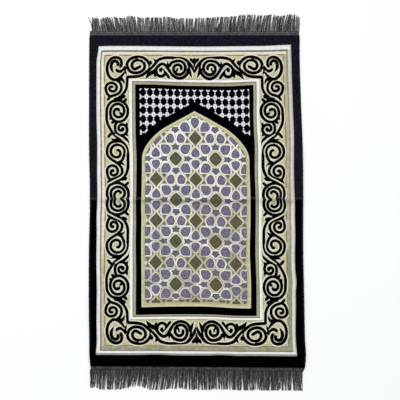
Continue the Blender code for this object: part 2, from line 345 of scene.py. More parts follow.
# The lattice over the niche
LATTICE_PITCH_ACROSS = 22.07
LATTICE_PITCH_ALONG = 28.8
LATTICE_MIDDLE = 0.6
LATTICE_FIRST_ROW = 332.9
LATTICE_TOP = 360.0
LATTICE_HALF_WIDTH = 175.5
LATTICE_COLUMNS = 8           # on each side of the middle one
LATTICE_ROWS = 7
OVAL = (7.2, 9.4)             # half sizes
OVAL_POINTEDNESS = 1.3        # 1 is an ellipse, 2 a diamond
OVAL_SIDES = 18
OVAL_EYE = (1.7, 3.8)
TOP_ROW_EYE = (3.4, 4.0)
LOW_BEAD, SIDE_BEAD = 2.1, 2.4  # half sizes of the beads below an oval and beside it
EYE_OVER = 0.08               # how much higher than the oval an eye stands
LINK_WIDTH = 1.6
LINK_UNDER = 0.1              # how much lower than the oval a link lies
LINK_GAPS = (5.0, 8.0)        # from a link's end to the oval's middle, across and along
LATTICE_OVER = 0.05           # above the pile
LATTICE_RIM = 0.8             # width of the sloping rim
EDGE_DASHES = (240.0, 360.0, 4.8, 1.1, 1.44)  # down the right edge: from, to, pitch, half sizes

# The tiled field. Rows are counted in half repeats from the middle: even ones carry the large
# diamonds, odd ones the diamonds with drawn-out points, half a repeat to the side.
FIELD_PITCH = 63.5
FIELD_MIDDLE = 0.6
FIELD_MIDDLE_ALONG = 1.0
FIELD_ROW_PITCH = 66.0
LOW_ROW_PITCH = 68.0
LOW_ROWS = -2
ROUND_DIAMOND = ((0, 22.5), (9, 16), (16, 8), (20.2, 0), (16, -8), (9, -16), (0, -22.5))
DRAWN_DIAMOND = ((0, 27), (3.2, 20), (8.5, 14.5), (14.5, 8), (20.5, 0))
PETAL = ((-47, 45.5), (-23, 45), (-15.5, 34), (-16.5, 25), (-24, 15), (-38.5, 15), (-46.5, 30))
UPPER_STAR = ((0, 52), (4.4, 44.8), (14.5, 42.6), (9.4, 35.5), (10.2, 27.8), (0, 30))
LOWER_STAR = ((0, -29.5), (10, -29), (9.6, -35.5), (14.6, -39.6), (7.6, -44.2), (0, -51.5))
SIDE_STAR = (
    (57.5, 0), (47, 3.4), (42, 9.4), (35, 6.6), (25.5, 8.6), (29, 0),
    (25.5, -8.6), (35, -6.6), (42, -9.4), (47, -3.4),
)
TWIN_DROP = ((17, 15.8), (26, 9), (31.5, 0), (26, -15), (8.8, -15), (3.4, -4), (6, 6), (9.5, 13))
UPPER_DROP = ((0, 36.5), (10, 26), (14, 15.5), (10.8, 6.6), (0, 5))
APEX_DROP = ((0, 1.5), (9.8, -2.5), (14.4, -14), (9.6, -25.5), (0, -36.5))
LOWER_DROP = ((0, -4), (10, -5.7), (14, -15), (10, -25.5), (0, -35.5))
UPPER_TRIANGLE = ((17.8, 17.6), (33.2, 17.6), (25.7, 3.2))
LOWER_TRIANGLE = ((18.2, -14.4), (33, -14.4), (25.7, -2.4))
SLIT = ((7.0, 40), (9.5, 44.5), (12.0, 40), (9.5, 35.5))
SLIT_MIDDLE = 40.0
SHOULDER = (120.0, 180.0)     # further across and along, diamonds that the niche cuts are purple
LAST_ROW = -322.6             # a row of short dashes closes the field
LAST_ROW_DASHES = (15.0, 24.0, 37.0, 55.0)
LAST_ROW_HALF = (4.6, 2.5)    # half sizes of a dash
LAST_ROW_TAPER = 0.6          # width of its upper side as a share of the lower one's
TILE_RIM = 2.6                # width of a tile's sloping rim
TILE_OVER = 0.25              # how much higher than the pile its top is
TILE_STEP = 0.8               # least distance between its corners
RIM_DROP = 0.1                # how much lower than its top the rim starts
LEAST_TUFT = 3.0              # smaller shapes are left out, in square millimetres
LEAST_TUFT_TOP = 0.35         # of a tuft's top, as a share of the whole tuft's size
INTERLACE = 4.6               # half width of the pale yarn round a tile
CUT_STATION_STEP = 2.5        # stations of that yarn where the niche cuts it


# ---- where things are placed


def hermite(start, leave, end, arrive, t):
    """A number or place at the share t of a curve, from its two ends and its slopes there."""
    return (
        start * (2 * t**3 - 3 * t**2 + 1)
        + leave * (t**3 - 2 * t**2 + t)
        + end * (3 * t**2 - 2 * t**3)
        + arrive * (t**3 - t**2)
    )


def smooth_values(rows, stations, column):
    """Reads one column of a table at one or many stations, on a smooth curve through the rows."""
    ordered = np.array(sorted(rows), dtype=float)
    places, values = ordered[:, 0], ordered[:, column]
    last = len(places) - 1
    before = np.maximum(np.arange(last + 1) - 1, 0)
    after = np.minimum(np.arange(last + 1) + 1, last)
    slopes = (values[after] - values[before]) / (places[after] - places[before])
    stations = np.clip(stations, places[0], places[-1])
    index = np.clip(np.searchsorted(places, stations, side="right") - 1, 0, last - 1)
    span = places[index + 1] - places[index]
    t = (stations - places[index]) / span
    leave, arrive = slopes[index] * span, slopes[index + 1] * span
    return hermite(values[index], leave, values[index + 1], arrive, t)


def smooth_step(value):
    """0 below zero, 1 above one, smooth in between."""
    t = np.clip(value, 0.0, 1.0)
    return t * t * (3.0 - 2.0 * t)


def ridge(distance, reach):
    """1 on a crease itself, falling to 0 at its reach and landing there without a step."""
    return np.maximum(0.0, 1.0 - np.abs(distance) / reach) ** 2


def near_spot(across, along, spot):
    """1 in the middle of a spot, falling smoothly to 0 at its reach.

    A spot starts with its place across and along, and how far it reaches across and along.
    """
    distance = np.hypot((across - spot[0]) / spot[2], (along - spot[1]) / spot[3])
    return 1.0 - smooth_step(distance)


def lift(across, along):
    """How far the cloth's underside is off the floor, in metres."""
    cross = CROSS_CREASE_LIFT * ridge(along - CROSS_CREASE_Y, CROSS_CREASE_REACH)
    long_way = LONG_CREASE_LIFT * ridge(across - LONG_CREASE_X, LONG_CREASE_REACH)
    start = LONG_CREASE_END - LONG_CREASE_FADE
    long_way = long_way * (1.0 - smooth_step((np.abs(along) - start) / LONG_CREASE_FADE))
    height = np.hypot(cross, long_way)
    for spot in SWELLS:
        height = height + spot[4] * near_spot(across, along, spot)
    return height


def lay(across, along):
    """Where places in the cloth's own sizes lie on the floor, in metres."""
    top = smooth_values(END_EDGES, across, 1)
    bottom = smooth_values(END_EDGES, across, 2)
    y = bottom + (top - bottom) * (along - WOVEN_BOTTOM) / (WOVEN_TOP - WOVEN_BOTTOM)
    left = smooth_values(SIDE_EDGES, y, 1)
    right = smooth_values(SIDE_EDGES, y, 2)
    return (left + right) / 2.0 + across * (right - left) / (2.0 * WOVEN_HALF_WIDTH), y


def cloth_across(across):
    """The pattern's own across to the cloth's, both in millimetres."""
    ease = smooth_step((np.abs(across) - PATTERN_EDGE) / (HALF_WIDTH - PATTERN_EDGE))
    return across + PATTERN_MIDDLE * (1.0 - ease)


def drift(across, along):
    """Pulls places of the pattern out of true, but never the edges of the cloth."""
    rim = np.minimum(HALF_WIDTH - np.abs(across), np.minimum(TOP - along, along - BOTTOM))
    inside = smooth_step(rim / DRIFT_EASE)
    moved_across, moved_along = across.copy(), along.copy()
    for spot in DRIFTS:
        share = inside * near_spot(across, along, spot)
        moved_across += spot[4] * share
        moved_along += spot[5] * share
    return moved_across, moved_along


def lay_points(points):
    """Pattern places, an array of across, along and height in millimetres, to places in metres."""
    points = np.asarray(points, dtype=float)
    across, along = drift(points[:, 0], points[:, 1])
    across = cloth_across(across) / 1000.0
    along = along / 1000.0
    x, y = lay(across, along)
    inside = np.clip(across, -WOVEN_HALF_WIDTH, WOVEN_HALF_WIDTH)
    z = lift(inside, along) + points[:, 2] / 1000.0
    return np.stack((x, y, z), axis=1)


# ---- gathering a piece


class Piece:
    """Gathers the vertices and faces of one piece.

    They are in pattern millimetres, or in metres where make gets a place that leaves them there.
    """

    def __init__(self):
        self.points = []
        self.faces = []
        self.marks = []

    def add(self, points, faces, finishes):
        """Adds one part; finishes is the name of its finish, or a list with one for each face."""
        first = len(self.points)
        self.points.extend(tuple(point) for point in points)
        self.faces.extend(tuple(first + corner for corner in face) for face in faces)
        self.marks.extend([finishes] * len(faces) if isinstance(finishes, str) else finishes)

    def make(self, name, slot="pile_cloth", cut=False, place=lay_points, sharp=40.0):
        """Lays the piece on the cloth as an object that rides on the rug."""
        names = sorted(set(self.marks))
        builder = bmesh.new()
        corners = [builder.verts.new(point) for point in self.points]
        for face, mark in zip(self.faces, self.marks):
            made = builder.faces.new([corners[i] for i in face])
            made.material_index = names.index(mark)
        if cut:
            cut_at_creases(builder)
        bmesh.ops.recalc_face_normals(builder, faces=builder.faces)
        places = place(np.array([corner.co[:] for corner in builder.verts]))
        for corner, spot in zip(builder.verts, places):
            corner.co = spot
        mesh = bpy.data.meshes.new(name)
        builder.to_mesh(mesh)
        builder.free()
        for finish in names:
            mesh.materials.append(woven(finish))
        mesh.shade_smooth()
        mesh.set_sharp_from_angle(angle=math.radians(sharp))
        made = bpy.data.objects.new(name, mesh)
        bpy.context.scene.collection.objects.link(made)
        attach(made, "root")
        return made


def tube_faces(count, sides, closed=False):
    """Faces of a tube of rings of places, its ends capped or, where it is closed, joined."""
    faces = []
    for i in range(count if closed else count - 1):
        here, there = i * sides, (i + 1) % count * sides
        for k in range(sides):
            after = (k + 1) % sides
            faces.append((here + k, here + after, there + after, there + k))
    if not closed:
        faces += [tuple(range(sides)), tuple(range((count - 1) * sides, count * sides))]
    return faces


def sheet_faces(rows, columns):
    """Faces of a sheet of two layers of places: below and above for each cell, then the rim."""
    layer = rows * columns
    faces = []
    for j in range(rows - 1):
        for i in range(columns - 1):
            a, b = j * columns + i, (j + 1) * columns + i
            faces.append((a, b, b + 1, a + 1))
            faces.append((layer + a, layer + a + 1, layer + b + 1, layer + b))
    rim = list(range(columns - 1)) + [j * columns + columns - 1 for j in range(rows - 1)]
    rim += [(rows - 1) * columns + i for i in range(columns - 1, 0, -1)]
    rim += [j * columns for j in range(rows - 1, 0, -1)]
    for corner, after in zip(rim, rim[1:] + rim[:1]):
        faces.append((corner, after, layer + after, layer + corner))
    return faces


def crease_stations(crease):
    """Stations beside a crease, in millimetres."""
    offsets = set(CREASE_OFFSETS) | {-offset for offset in CREASE_OFFSETS}
    return [crease * 1000.0 + offset for offset in sorted(offsets)]


def cut_at_creases(builder):
    """Cuts wide faces beside the creases, so that they can follow the cloth over them."""
    cuts = [((place - PATTERN_MIDDLE, 0, 0), (1, 0, 0)) for place in crease_stations(LONG_CREASE_X)]
    cuts += [((0, place, 0), (0, 1, 0)) for place in crease_stations(CROSS_CREASE_Y)]
    for centre, normal in cuts:
        everything = list(builder.verts) + list(builder.edges) + list(builder.faces)
        bmesh.ops.bisect_plane(
            builder, geom=everything, dist=0.001, plane_co=centre, plane_no=normal
        )


# ---- curves and ribbons


def turn_points(turn):
    """Places on a turn, which winds in or out from quarter to quarter."""
    last = len(turn.radii) - 1
    points = []
    for i in range(int(turn.quarters * TURN_STEPS) + 1):
        quarter = i / TURN_STEPS
        k = min(int(quarter), last - 1)
        around = [turn.radii[min(max(k + step, 0), last)] for step in (-1, 0, 1, 2)]
        before, start, end, after = around
        radius = hermite(start, (end - before) / 2.0, end, (after - start) / 2.0, quarter - k)
        angle = math.radians(SIDE_ANGLES[turn.start] + turn.hand * 90.0 * quarter)
        points.append(
            (turn.across + radius * math.cos(angle), turn.along + radius * math.sin(angle))
        )
    return points


def route_points(route):
    """The places of a route, with its turns worked out."""
    points = []
    for item in route:
        points.extend(turn_points(item) if isinstance(item, Turn) else [item])
    return np.array(points, dtype=float)


def smooth_curve(points):
    """A fine curve through the places, without bulges where they are unevenly spaced."""
    last = len(points) - 1
    if last == 1:
        return points[0] + (points[1] - points[0]) * np.linspace(0.0, 1.0, STRAIGHT_STEPS)[:, None]
    curve = []
    for i in range(last):
        start, end = points[i], points[i + 1]
        before = points[i - 1] if i > 0 else 2 * start - end
        after = points[i + 2] if i + 2 <= last else 2 * end - start
        near, here, far = (
            max(np.linalg.norm(b - a), 1e-6) ** 0.5
            for a, b in ((before, start), (start, end), (end, after))
        )
        leave = (end - start) - here * ((end - before) / (near + here) - (start - before) / near)
        arrive = (end - start) - here * ((after - start) / (here + far) - (after - end) / far)
        steps = max(2, int(np.linalg.norm(end - start) / CURVE_STEP))
        curve += [hermite(start, leave, end, arrive, t) for t in np.arange(steps) / steps]
    curve.append(points[-1])
    return np.array(curve)


def thin_stations(curve, ends):
    """Keeps the places of a fine curve that its shape needs, more of them near its ends."""
    steps = np.diff(curve, axis=0)
    lengths = np.concatenate(([0.0], np.cumsum(np.linalg.norm(steps, axis=1))))
    angles = np.unwrap(np.arctan2(steps[:, 1], steps[:, 0]))
    kept = [0]
    for i in range(1, len(curve) - 1):
        near_end = min(lengths[i], lengths[-1] - lengths[i]) < ends
        far = lengths[i] - lengths[kept[-1]] >= (END_STEP * ends if near_end else STATION_STEP)
        bent = abs(angles[i] - angles[kept[-1]]) >= STATION_TURN
        if far or bent:
            kept.append(i)
    kept.append(len(curve) - 1)
    return curve[kept], lengths[kept]


def end_share(distance, half, kind):
    """The share of its half width that a ribbon has at a distance from its end."""
    if kind == "round":
        near = np.clip(distance / half, 0.0, 1.0)
        return np.sqrt(np.maximum(1.0 - (1.0 - near) ** 2, ROUND_END_LEAST))
    if kind == "point":
        return np.clip(distance / (POINT_LENGTH * half), POINT_LEAST, 1.0) ** POINT_FULLNESS
    return np.ones_like(distance)


def sweep(piece, path, halves, profile, finish, closed=False):
    """A closed ribbon along a path; the profile's rows are a share of the half width, a height."""
    if closed:
        tangents = np.roll(path, -1, axis=0) - np.roll(path, 1, axis=0)
    else:
        tangents = np.gradient(path, axis=0)
    tangents /= np.maximum(np.linalg.norm(tangents, axis=1), 1e-9)[:, None]
    normals = np.stack((-tangents[:, 1], tangents[:, 0]), axis=1)
    points = []
    for place, normal, half in zip(path, normals, halves):
        points += [(*(place + normal * share * half), height) for share, height in profile]
    piece.add(points, tube_faces(len(path), len(profile), closed), finish)


def ribbon_profile(top, shoulder, drop):
    """A ribbon's section, its shoulders lower than its top by the drop."""
    side = top - drop
    return ((-1.0, SUNK), (-shoulder, side), (0.0, top), (shoulder, side), (1.0, SUNK))


PILE_PROFILE = (
    (-1.0, SUNK), (-0.94, PILE - 0.3), (-0.6, PILE), (0.0, PILE + 0.12),
    (0.6, PILE), (0.94, PILE - 0.3), (1.0, SUNK),
)
CORD_PROFILE = ribbon_profile(CORD, 0.97, 0.05)
LINE_PROFILE = ribbon_profile(PILE + 0.25, 0.9, 0.15)


def quarter_place(points, quarter):
    """Turns places of the upper left quarter into those of another quarter."""
    side, end, end_shift, side_shift, bulge = quarter
    across, along = points[:, 0], points[:, 1]
    beside_end = smooth_step((np.abs(along) - END_BORDER_START) / END_BORDER_EASE)
    shift = side_shift + (end_shift - side_shift) * beside_end
    swell = bulge * np.sin(math.pi * np.clip(along / BULGE_LENGTH, 0.0, 1.0))
    return np.stack((-side * across + shift, MIDDLE_ALONG + end * along + swell), axis=1)


def stroke(points, quarter, half, start, finish):
    """A stroke of one quarter: the stations of its path, and its half width at each."""
    path, lengths = thin_stations(smooth_curve(quarter_place(points, quarter)), half)
    shares = end_share(lengths, half, start) * end_share(lengths[-1] - lengths, half, finish)
    return path, half * shares


def add_scrollwork():
    """The scrolls of all four quarters: dark pile ribbons, each on a wider pale one."""
    scrolls, outlines = Piece(), Piece()
    for quarter in QUARTERS:
        for _, width, start, finish, route in SCROLLWORK:
            points = route_points(route)
            beside_end = points[:, 1].mean() > END_BORDER_START + END_BORDER_EASE
            half = (width + (END_PILE_SPREAD if beside_end else PILE_SPREAD)) / 2.0
            path, halves = stroke(points, quarter, half, start, finish)
            sweep(scrolls, path, halves, PILE_PROFILE, "scroll_pile")
            sweep(outlines, path, halves + OUTLINE_WIDTH, CORD_PROFILE, "ivory_yarn")
        for _, width, route in PALE_LINES:
            path, halves = stroke(route_points(route), quarter, width / 2.0, "round", "round")
            sweep(outlines, path, halves, LINE_PROFILE, "ivory_yarn")
    return [scrolls.make("scroll_pile"), outlines.make("scroll_outline")]


# ---- polygons


def mirrored(points, across=1, along=1):
    """A polygon turned over, still running the same way round."""
    turned = [(x * across, y * along) for x, y in points]
    return turned[::-1] if across * along < 0 else turned


def moved(points, across, along):
    """A polygon moved to its place."""
    return [(x + across, y + along) for x, y in points]


def whole(half):
    """A polygon from its right-hand half, listed from the top down."""
    return list(half) + [(-x, y) for x, y in reversed(half) if x > 0]


def between(start, end, t):
    """The place at the share t of the way from start to end."""
    return (start[0] + (end[0] - start[0]) * t, start[1] + (end[1] - start[1]) * t)


def middle_of(points):
    """The mean of some places."""
    return (sum(p[0] for p in points) / len(points), sum(p[1] for p in points) / len(points))


def ahead_of(place, spot, normal):
    """How far a place is ahead of a line through spot, in lengths of the line's normal."""
    return (place[0] - spot[0]) * normal[0] + (place[1] - spot[1]) * normal[1]


def clip_behind(points, spot, normal):
    """The part of a polygon behind a line, which passes through spot with its normal ahead."""
    kept = []
    for i, end in enumerate(points):
        start = points[i - 1]
        ahead_start, ahead_end = ahead_of(start, spot, normal), ahead_of(end, spot, normal)
        if (ahead_start > 0) != (ahead_end > 0):
            kept.append(between(start, end, ahead_start / (ahead_start - ahead_end)))
        if ahead_end <= 0:
            kept.append(end)
    return kept


def polygon_area(points):
    """Signed area, positive where the polygon runs leftwards round."""
    return 0.5 * sum(
        points[i - 1][0] * points[i][1] - points[i][0] * points[i - 1][1]
        for i in range(len(points))
    )


def tidy_polygon(points, least=0.35):
    """Drops corners that fall on one another."""
    kept = []
    for point in points:
        if not kept or math.dist(point, kept[-1]) > least:
            kept.append(point)
    if len(kept) > 1 and math.dist(kept[0], kept[-1]) <= least:
        kept.pop()
    return kept


def soften(points, share, rounds=2):
    """Cuts a polygon's corners, for the soft corners of woven tufts."""
    for _ in range(rounds):
        sides = [(points[i - 1], end) for i, end in enumerate(points)]
        points = [between(*side, t) for side in sides for t in (share, 1.0 - share)]
    return points


def ellipse(across, along, half_across, half_along, sides=10, pointedness=1.0):
    """A polygon on an ellipse, or between an ellipse and a diamond."""
    points = []
    for i in range(sides):
        angle = 2.0 * math.pi * i / sides
        x, y = math.cos(angle), math.sin(angle)
        x = math.copysign(abs(x) ** pointedness, x)
        y = math.copysign(abs(y) ** pointedness, y)
        points.append((across + half_across * x, along + half_along * y))
    return points


def rectangle(across, along, half_across, half_along):
    """An upright rectangle, running leftwards round."""
    corners = ((-1, -1), (1, -1), (1, 1), (-1, 1))
    return [(across + half_across * x, along + half_along * y) for x, y in corners]


def add_tuft(piece, points, rim, top, rim_finish, top_finish):
    """A closed tuft on a polygon: steep sides, a sloping rim and a level top."""
    points = tidy_polygon(points)
    if len(points) < 3 or abs(polygon_area(points)) < LEAST_TUFT:
        return
    if polygon_area(points) < 0:
        points = points[::-1]
    middle = middle_of(points)
    inner = []
    for place in points:
        share = 1.0 - rim / max(math.dist(place, middle), 0.01)
        inner.append(between(middle, place, max(share, LEAST_TUFT_TOP)))
    rings = ((points, SUNK), (points, top - RIM_DROP), (inner, top))
    places = [(x, y, height) for ring, height in rings for x, y in ring]
    faces = tube_faces(len(rings), len(points))
    piece.add(places, faces, [rim_finish] * (len(faces) - 1) + [top_finish])


def edges_of(outline):
    """The start and the outward normal of each edge of an outline that runs leftwards round."""
    for i, end in enumerate(outline):
        start = outline[i - 1]
        yield start, (end[1] - start[1], start[0] - end[0])


def cut_to(points, outline):
    """The part of a polygon inside an outline, which bulges outwards all round."""
    for start, normal in edges_of(outline):
        points = clip_behind(points, start, normal)
    return points


def is_inside(place, outline):
    """Whether a place is inside an outline, which bulges outwards all round."""
    return all(ahead_of(place, start, normal) <= 0 for start, normal in edges_of(outline))


def close_stations(points, step):
    """Places round a polygon, its corners among them, no further apart than the step."""
    stations = []
    for i, end in enumerate(points):
        parts = max(1, math.ceil(math.dist(points[i - 1], end) / step))
        stations += [between(points[i - 1], end, k / parts) for k in range(parts)]
    return stations


def add_outline(piece, points, outline, top, finish):
    """A pale ribbon round a tile, wherever it is inside the outline."""
    closed = all(is_inside(point, outline) for point in points)
    runs = [points]
    if not closed:
        stations = close_stations(points, CUT_STATION_STEP)
        inside = [is_inside(place, outline) for place in stations]
        if not any(inside):
            return
        first = next(i for i in range(len(stations)) if inside[i] and not inside[i - 1])
        turned = zip(inside[first:] + inside[:first], stations[first:] + stations[:first])
        groups = itertools.groupby(turned, key=lambda item: item[0])
        runs = [[place for _, place in group] for within, group in groups if within]
    profile = ribbon_profile(top, 0.85, 0.1)
    for run in runs:
        if len(run) > 1:
            halves = np.full(len(run), INTERLACE)
            sweep(piece, np.array(run, dtype=float), halves, profile, finish, closed)


# ---- the niche


def arch_side(offset):
    """The right-hand half of the niche's outline above its straight side, from the side up.

    The offset is outwards from the outside of the gold band.
    """
    arcs = (
        (ARCH_SHOULDER_CENTRE, ARCH_SHOULDER_RADIUS, 0.0, ARCH_SHOULDER_END, ARC_STEPS),
        (ARCH_ARC_CENTRE, ARCH_ARC_RADIUS, ARCH_SHOULDER_END, ARCH_ARC_END, ARC_STEPS + 1),
    )
    points = []
    for (across, along), radius, first, last, count in arcs:
        for i in range(count):
            angle = first + (last - first) * i / ARC_STEPS
            reach = radius + offset
            points.append((across + reach * math.cos(angle), along + reach * math.sin(angle)))
    start, apex = points[-1], (0.0, ARCH_APEX + offset / ARCH_SLOPE_COSINE)
    return points + [between(start, apex, i / SLOPE_STEPS) for i in range(1, SLOPE_STEPS + 1)]


def arch_outline(offset, bottom):
    """The whole outline of the niche, leftwards round from the bottom left corner."""
    right = arch_side(offset)
    side, spring = ARCH_HALF_WIDTH + offset, right[0][1]
    floor = [(-side + 2.0 * side * i / FLOOR_STEPS, bottom) for i in range(FLOOR_STEPS)]
    wall = [(side, bottom + (spring - bottom) * i / WALL_STEPS) for i in range(WALL_STEPS)]
    left = [(-x, y) for x, y in reversed(wall[1:] + right[:-1])]
    return floor + wall + right + left


def add_arch_band():
    """The gold band round the niche, duller on its inner half."""
    outer = arch_outline(0.0, ARCH_BOTTOM)
    inner = arch_outline(-ARCH_BAND, ARCH_BOTTOM + ARCH_BAND_BOTTOM)
    # from the outside in: share of the band's width, height
    section = ((0.0, SUNK), (0.02, RIB + 0.2), (0.12, RIB + 0.35), (0.5, RIB + 0.38),
               (0.88, RIB + 0.35), (0.98, RIB + 0.2), (1.0, SUNK))
    points = []
    for outside, inside in zip(outer, inner):
        points += [(*between(outside, inside, t), height) for t, height in section]
    finishes = ["arch_gold"] * 3 + ["arch_gold_inside"] * 3 + ["arch_gold"]
    band = Piece()
    band.add(points, tube_faces(len(outer), len(section), closed=True), finishes * len(outer))
    return band.make("arch_band", cut=True)


def add_field_plate():
    """The field's ground: a thin plate inside the gold band, built in rows up to the apex."""
    offset = PLATE_OVERLAP - ARCH_BAND
    bottom = ARCH_BOTTOM + ARCH_BAND_BOTTOM - PLATE_OVERLAP
    side = arch_side(offset)
    wall, spring = ARCH_HALF_WIDTH + offset, side[0][1]
    rows = [(wall, bottom + (spring - bottom) * i / PLATE_ROWS) for i in range(PLATE_ROWS)]
    rows += side[:-1] + [(PLATE_TIP, side[-1][1] - PLATE_TIP_DROP)]
    points = [
        (half * (2.0 * i / PLATE_COLUMNS - 1.0), along, height)
        for height in (SUNK, PILE - PLATE_UNDER)
        for half, along in rows
        for i in range(PLATE_COLUMNS + 1)
    ]
    plate = Piece()
    plate.add(points, sheet_faces(len(rows), PLATE_COLUMNS + 1), "field_ground")
    return plate.make("field_ground", cut=True)


def field_row(index):
    """Where a row of the field is, counted in half repeats from the middle one."""
    if index >= LOW_ROWS:
        return FIELD_MIDDLE_ALONG + FIELD_ROW_PITCH * index
    return field_row(LOW_ROWS) + LOW_ROW_PITCH * (index - LOW_ROWS)


def large_diamond_group(across, along, step):
    """A large diamond with its four petals and four stars, and the twin drops over it."""
    group = [("olive", whole(ROUND_DIAMOND))]
    group += [("petal", mirrored(PETAL, side, up)) for up in (1, -1) for side in (1, -1)]
    group += [("star", whole(UPPER_STAR)), ("star", whole(LOWER_STAR))]
    for side in (1, -1):
        group.append(("star", mirrored(SIDE_STAR, side)))
        group.append(("drop", moved(mirrored(TWIN_DROP, side), 0.0, step)))
    return [(kind, moved(points, across, along)) for kind, points in group]


def drawn_diamond_group(across, along, step):
    """A diamond with drawn-out points, the drops above and below it, and small triangles."""
    lower = tuple((x, -y) for x, y in reversed(DRAWN_DIAMOND[:-1]))
    high = along > SHOULDER[1]
    kind = "petal" if high and abs(across) > SHOULDER[0] else "olive"
    group = [(kind, whole(DRAWN_DIAMOND + lower))]
    group.append(("drop", moved(whole(APEX_DROP if high else LOWER_DROP), 0.0, step)))
    group.append(("drop", moved(whole(UPPER_DROP), 0.0, -step)))
    flecks = (
        (UPPER_TRIANGLE, 0.0), (LOWER_TRIANGLE, 0.0), (SLIT, -step), (SLIT, step - 2.0 * SLIT_MIDDLE)
    )
    for side in (1, -1):
        group += [("fleck", moved(mirrored(half, side), 0.0, shift)) for half, shift in flecks]
    return [(kind, moved(points, across, along)) for kind, points in group]


def field_tiles():
    """Every tile of the field: kind and polygon, before the niche cuts them."""
    tiles = []
    for row in range(-5, 6):
        along = field_row(row)
        group = drawn_diamond_group if row % 2 else large_diamond_group
        for column in range(-3, 4):
            if (row + column) % 2:
                across = FIELD_MIDDLE + column * FIELD_PITCH
                tiles += group(across, along, field_row(row + 1) - along)
    half, tall = LAST_ROW_HALF
    narrow = half * LAST_ROW_TAPER
    dash = [(-half, -tall), (half, -tall), (narrow, tall), (-narrow, tall)]
    for column in range(-3, 4, 2):
        for offset in LAST_ROW_DASHES:
            for side in (1, -1):
                across = FIELD_MIDDLE + column * FIELD_PITCH + side * offset
                tiles.append(("dash", moved(dash, across, LAST_ROW)))
    return tiles


TILE_LOOKS = {
    # softness of the corners, finish of the rim and of the top, and of the yarn round the tile
    "olive": (0.10, "olive_edge", "olive_pile", "cream_interlace"),
    "petal": (0.14, "purple_edge", "purple_pile", "white_interlace"),
    "star": (0.10, "purple_edge", "dusk_pile", "white_interlace"),
    "drop": (0.14, "purple_edge", "purple_pile", "white_interlace"),
    "fleck": (0.15, "fleck_pile", "fleck_pile", None),
    "dash": (0.10, "olive_edge", "olive_edge", None),
}
YARN_OVER = {"white_interlace": 0.05, "cream_interlace": 0.07}


def add_field():
    """The tiles of the field and the pale interlace round them, cut by the niche."""
    tiles, interlace = Piece(), Piece()
    outline = arch_outline(-ARCH_BAND, ARCH_BOTTOM + ARCH_BAND_BOTTOM)
    for kind, points in field_tiles():
        softness, rim_finish, top_finish, yarn = TILE_LOOKS[kind]
        points = tidy_polygon(soften(points, softness), TILE_STEP)
        if yarn:
            add_outline(interlace, points, outline, PILE + YARN_OVER[yarn], yarn)
        inside = cut_to(points, outline)
        add_tuft(tiles, inside, TILE_RIM, PILE + TILE_OVER, rim_finish, top_finish)
    return [tiles.make("field_tiles", cut=True), interlace.make("field_interlace", cut=True)]


def lattice_clip(points):
    """Cuts a polygon of the lattice at the lattice's edges and at the black band over the niche."""
    points = clip_behind(points, (0.0, LATTICE_TOP), (0.0, 1.0))
    for side in (1.0, -1.0):
        points = clip_behind(points, (side * LATTICE_HALF_WIDTH, 0.0), (side, 0.0))
    right = arch_side(BLACK_ARCH)
    outline = right + [(-x, y) for x, y in reversed(right[:-1])]
    if len(points) < 3 or middle_of(points)[1] < outline[0][1]:
        return []
    centre = middle_of(points)
    start, end = min(
        zip(outline, outline[1:]), key=lambda edge: math.dist(centre, middle_of(edge))
    )
    return clip_behind(points, start, (start[1] - end[1], end[0] - start[0]))


def lattice_shapes(across, along, row, column):
    """One repeat of the lattice: polygon, finish and height of each of its shapes."""
    below, beside = along - LATTICE_PITCH_ALONG / 2.0, across + LATTICE_PITCH_ACROSS / 2.0
    eye, eye_finish = (TOP_ROW_EYE, "niche_pile") if row < 0 else (OVAL_EYE, "lattice_eye")
    shapes = [
        (ellipse(across, along, *OVAL, OVAL_SIDES, OVAL_POINTEDNESS), "lattice_white", 0.0),
        (ellipse(across, along, *eye), eye_finish, EYE_OVER),
    ]
    if abs(column) < LATTICE_COLUMNS:
        link = rectangle(across, below, LINK_WIDTH / 2.0, LATTICE_PITCH_ALONG / 2.0 - LINK_GAPS[1])
        shapes.append((ellipse(across, below, LOW_BEAD, LOW_BEAD), "lattice_white", 0.0))
        shapes.append((link, "lattice_link", -LINK_UNDER))
    if row >= 0 and column < LATTICE_COLUMNS:
        link = rectangle(beside, along, LATTICE_PITCH_ACROSS / 2.0 - LINK_GAPS[0], LINK_WIDTH / 2.0)
        shapes.append((ellipse(beside, along, SIDE_BEAD, SIDE_BEAD), "lattice_white", 0.0))
        shapes.append((link, "lattice_link", -LINK_UNDER))
    return shapes


def add_lattice():
    """The pale lattice over the niche: rows of ovals with beads and thin links between them."""
    lattice = Piece()
    top = PILE + LATTICE_OVER
    for row in range(-1, LATTICE_ROWS):
        for column in range(-LATTICE_COLUMNS, LATTICE_COLUMNS + 1):
            across = LATTICE_MIDDLE + column * LATTICE_PITCH_ACROSS
            along = LATTICE_FIRST_ROW - row * LATTICE_PITCH_ALONG
            for points, finish, over in lattice_shapes(across, along, row, column):
                add_tuft(lattice, lattice_clip(points), LATTICE_RIM, top + over, finish, finish)
    low, high, pitch, half, tall = EDGE_DASHES
    for i in range(int((high - low) / pitch)):
        dash = rectangle(LATTICE_HALF_WIDTH, low + pitch * (i + 0.5), half, tall)
        add_tuft(lattice, dash, LATTICE_RIM / 2.0, top - LINK_UNDER, "lattice_eye", "lattice_eye")
    return lattice.make("lattice")


# ---- the cloth

# copies of yarns with painted sheen down the right side, and with painted shade below
SIDE_SHEEN_YARNS = {
    "dull_white": "dull_side", "white_yarn": "white_side", "cream_yarn": "cream_side",
    "outer_grey": "grey_side",
}
LOW_SHADE_YARNS = {"dull_white": "dull_low", "cream_yarn": "cream_low"}


def band_of(across, along):
    """The number of the frame that colours a place of the cloth."""
    number = 0
    for i, (_, half, top, bottom, _) in enumerate(BANDS):
        if abs(across) < half and bottom < along < top:
            number = i
    return number


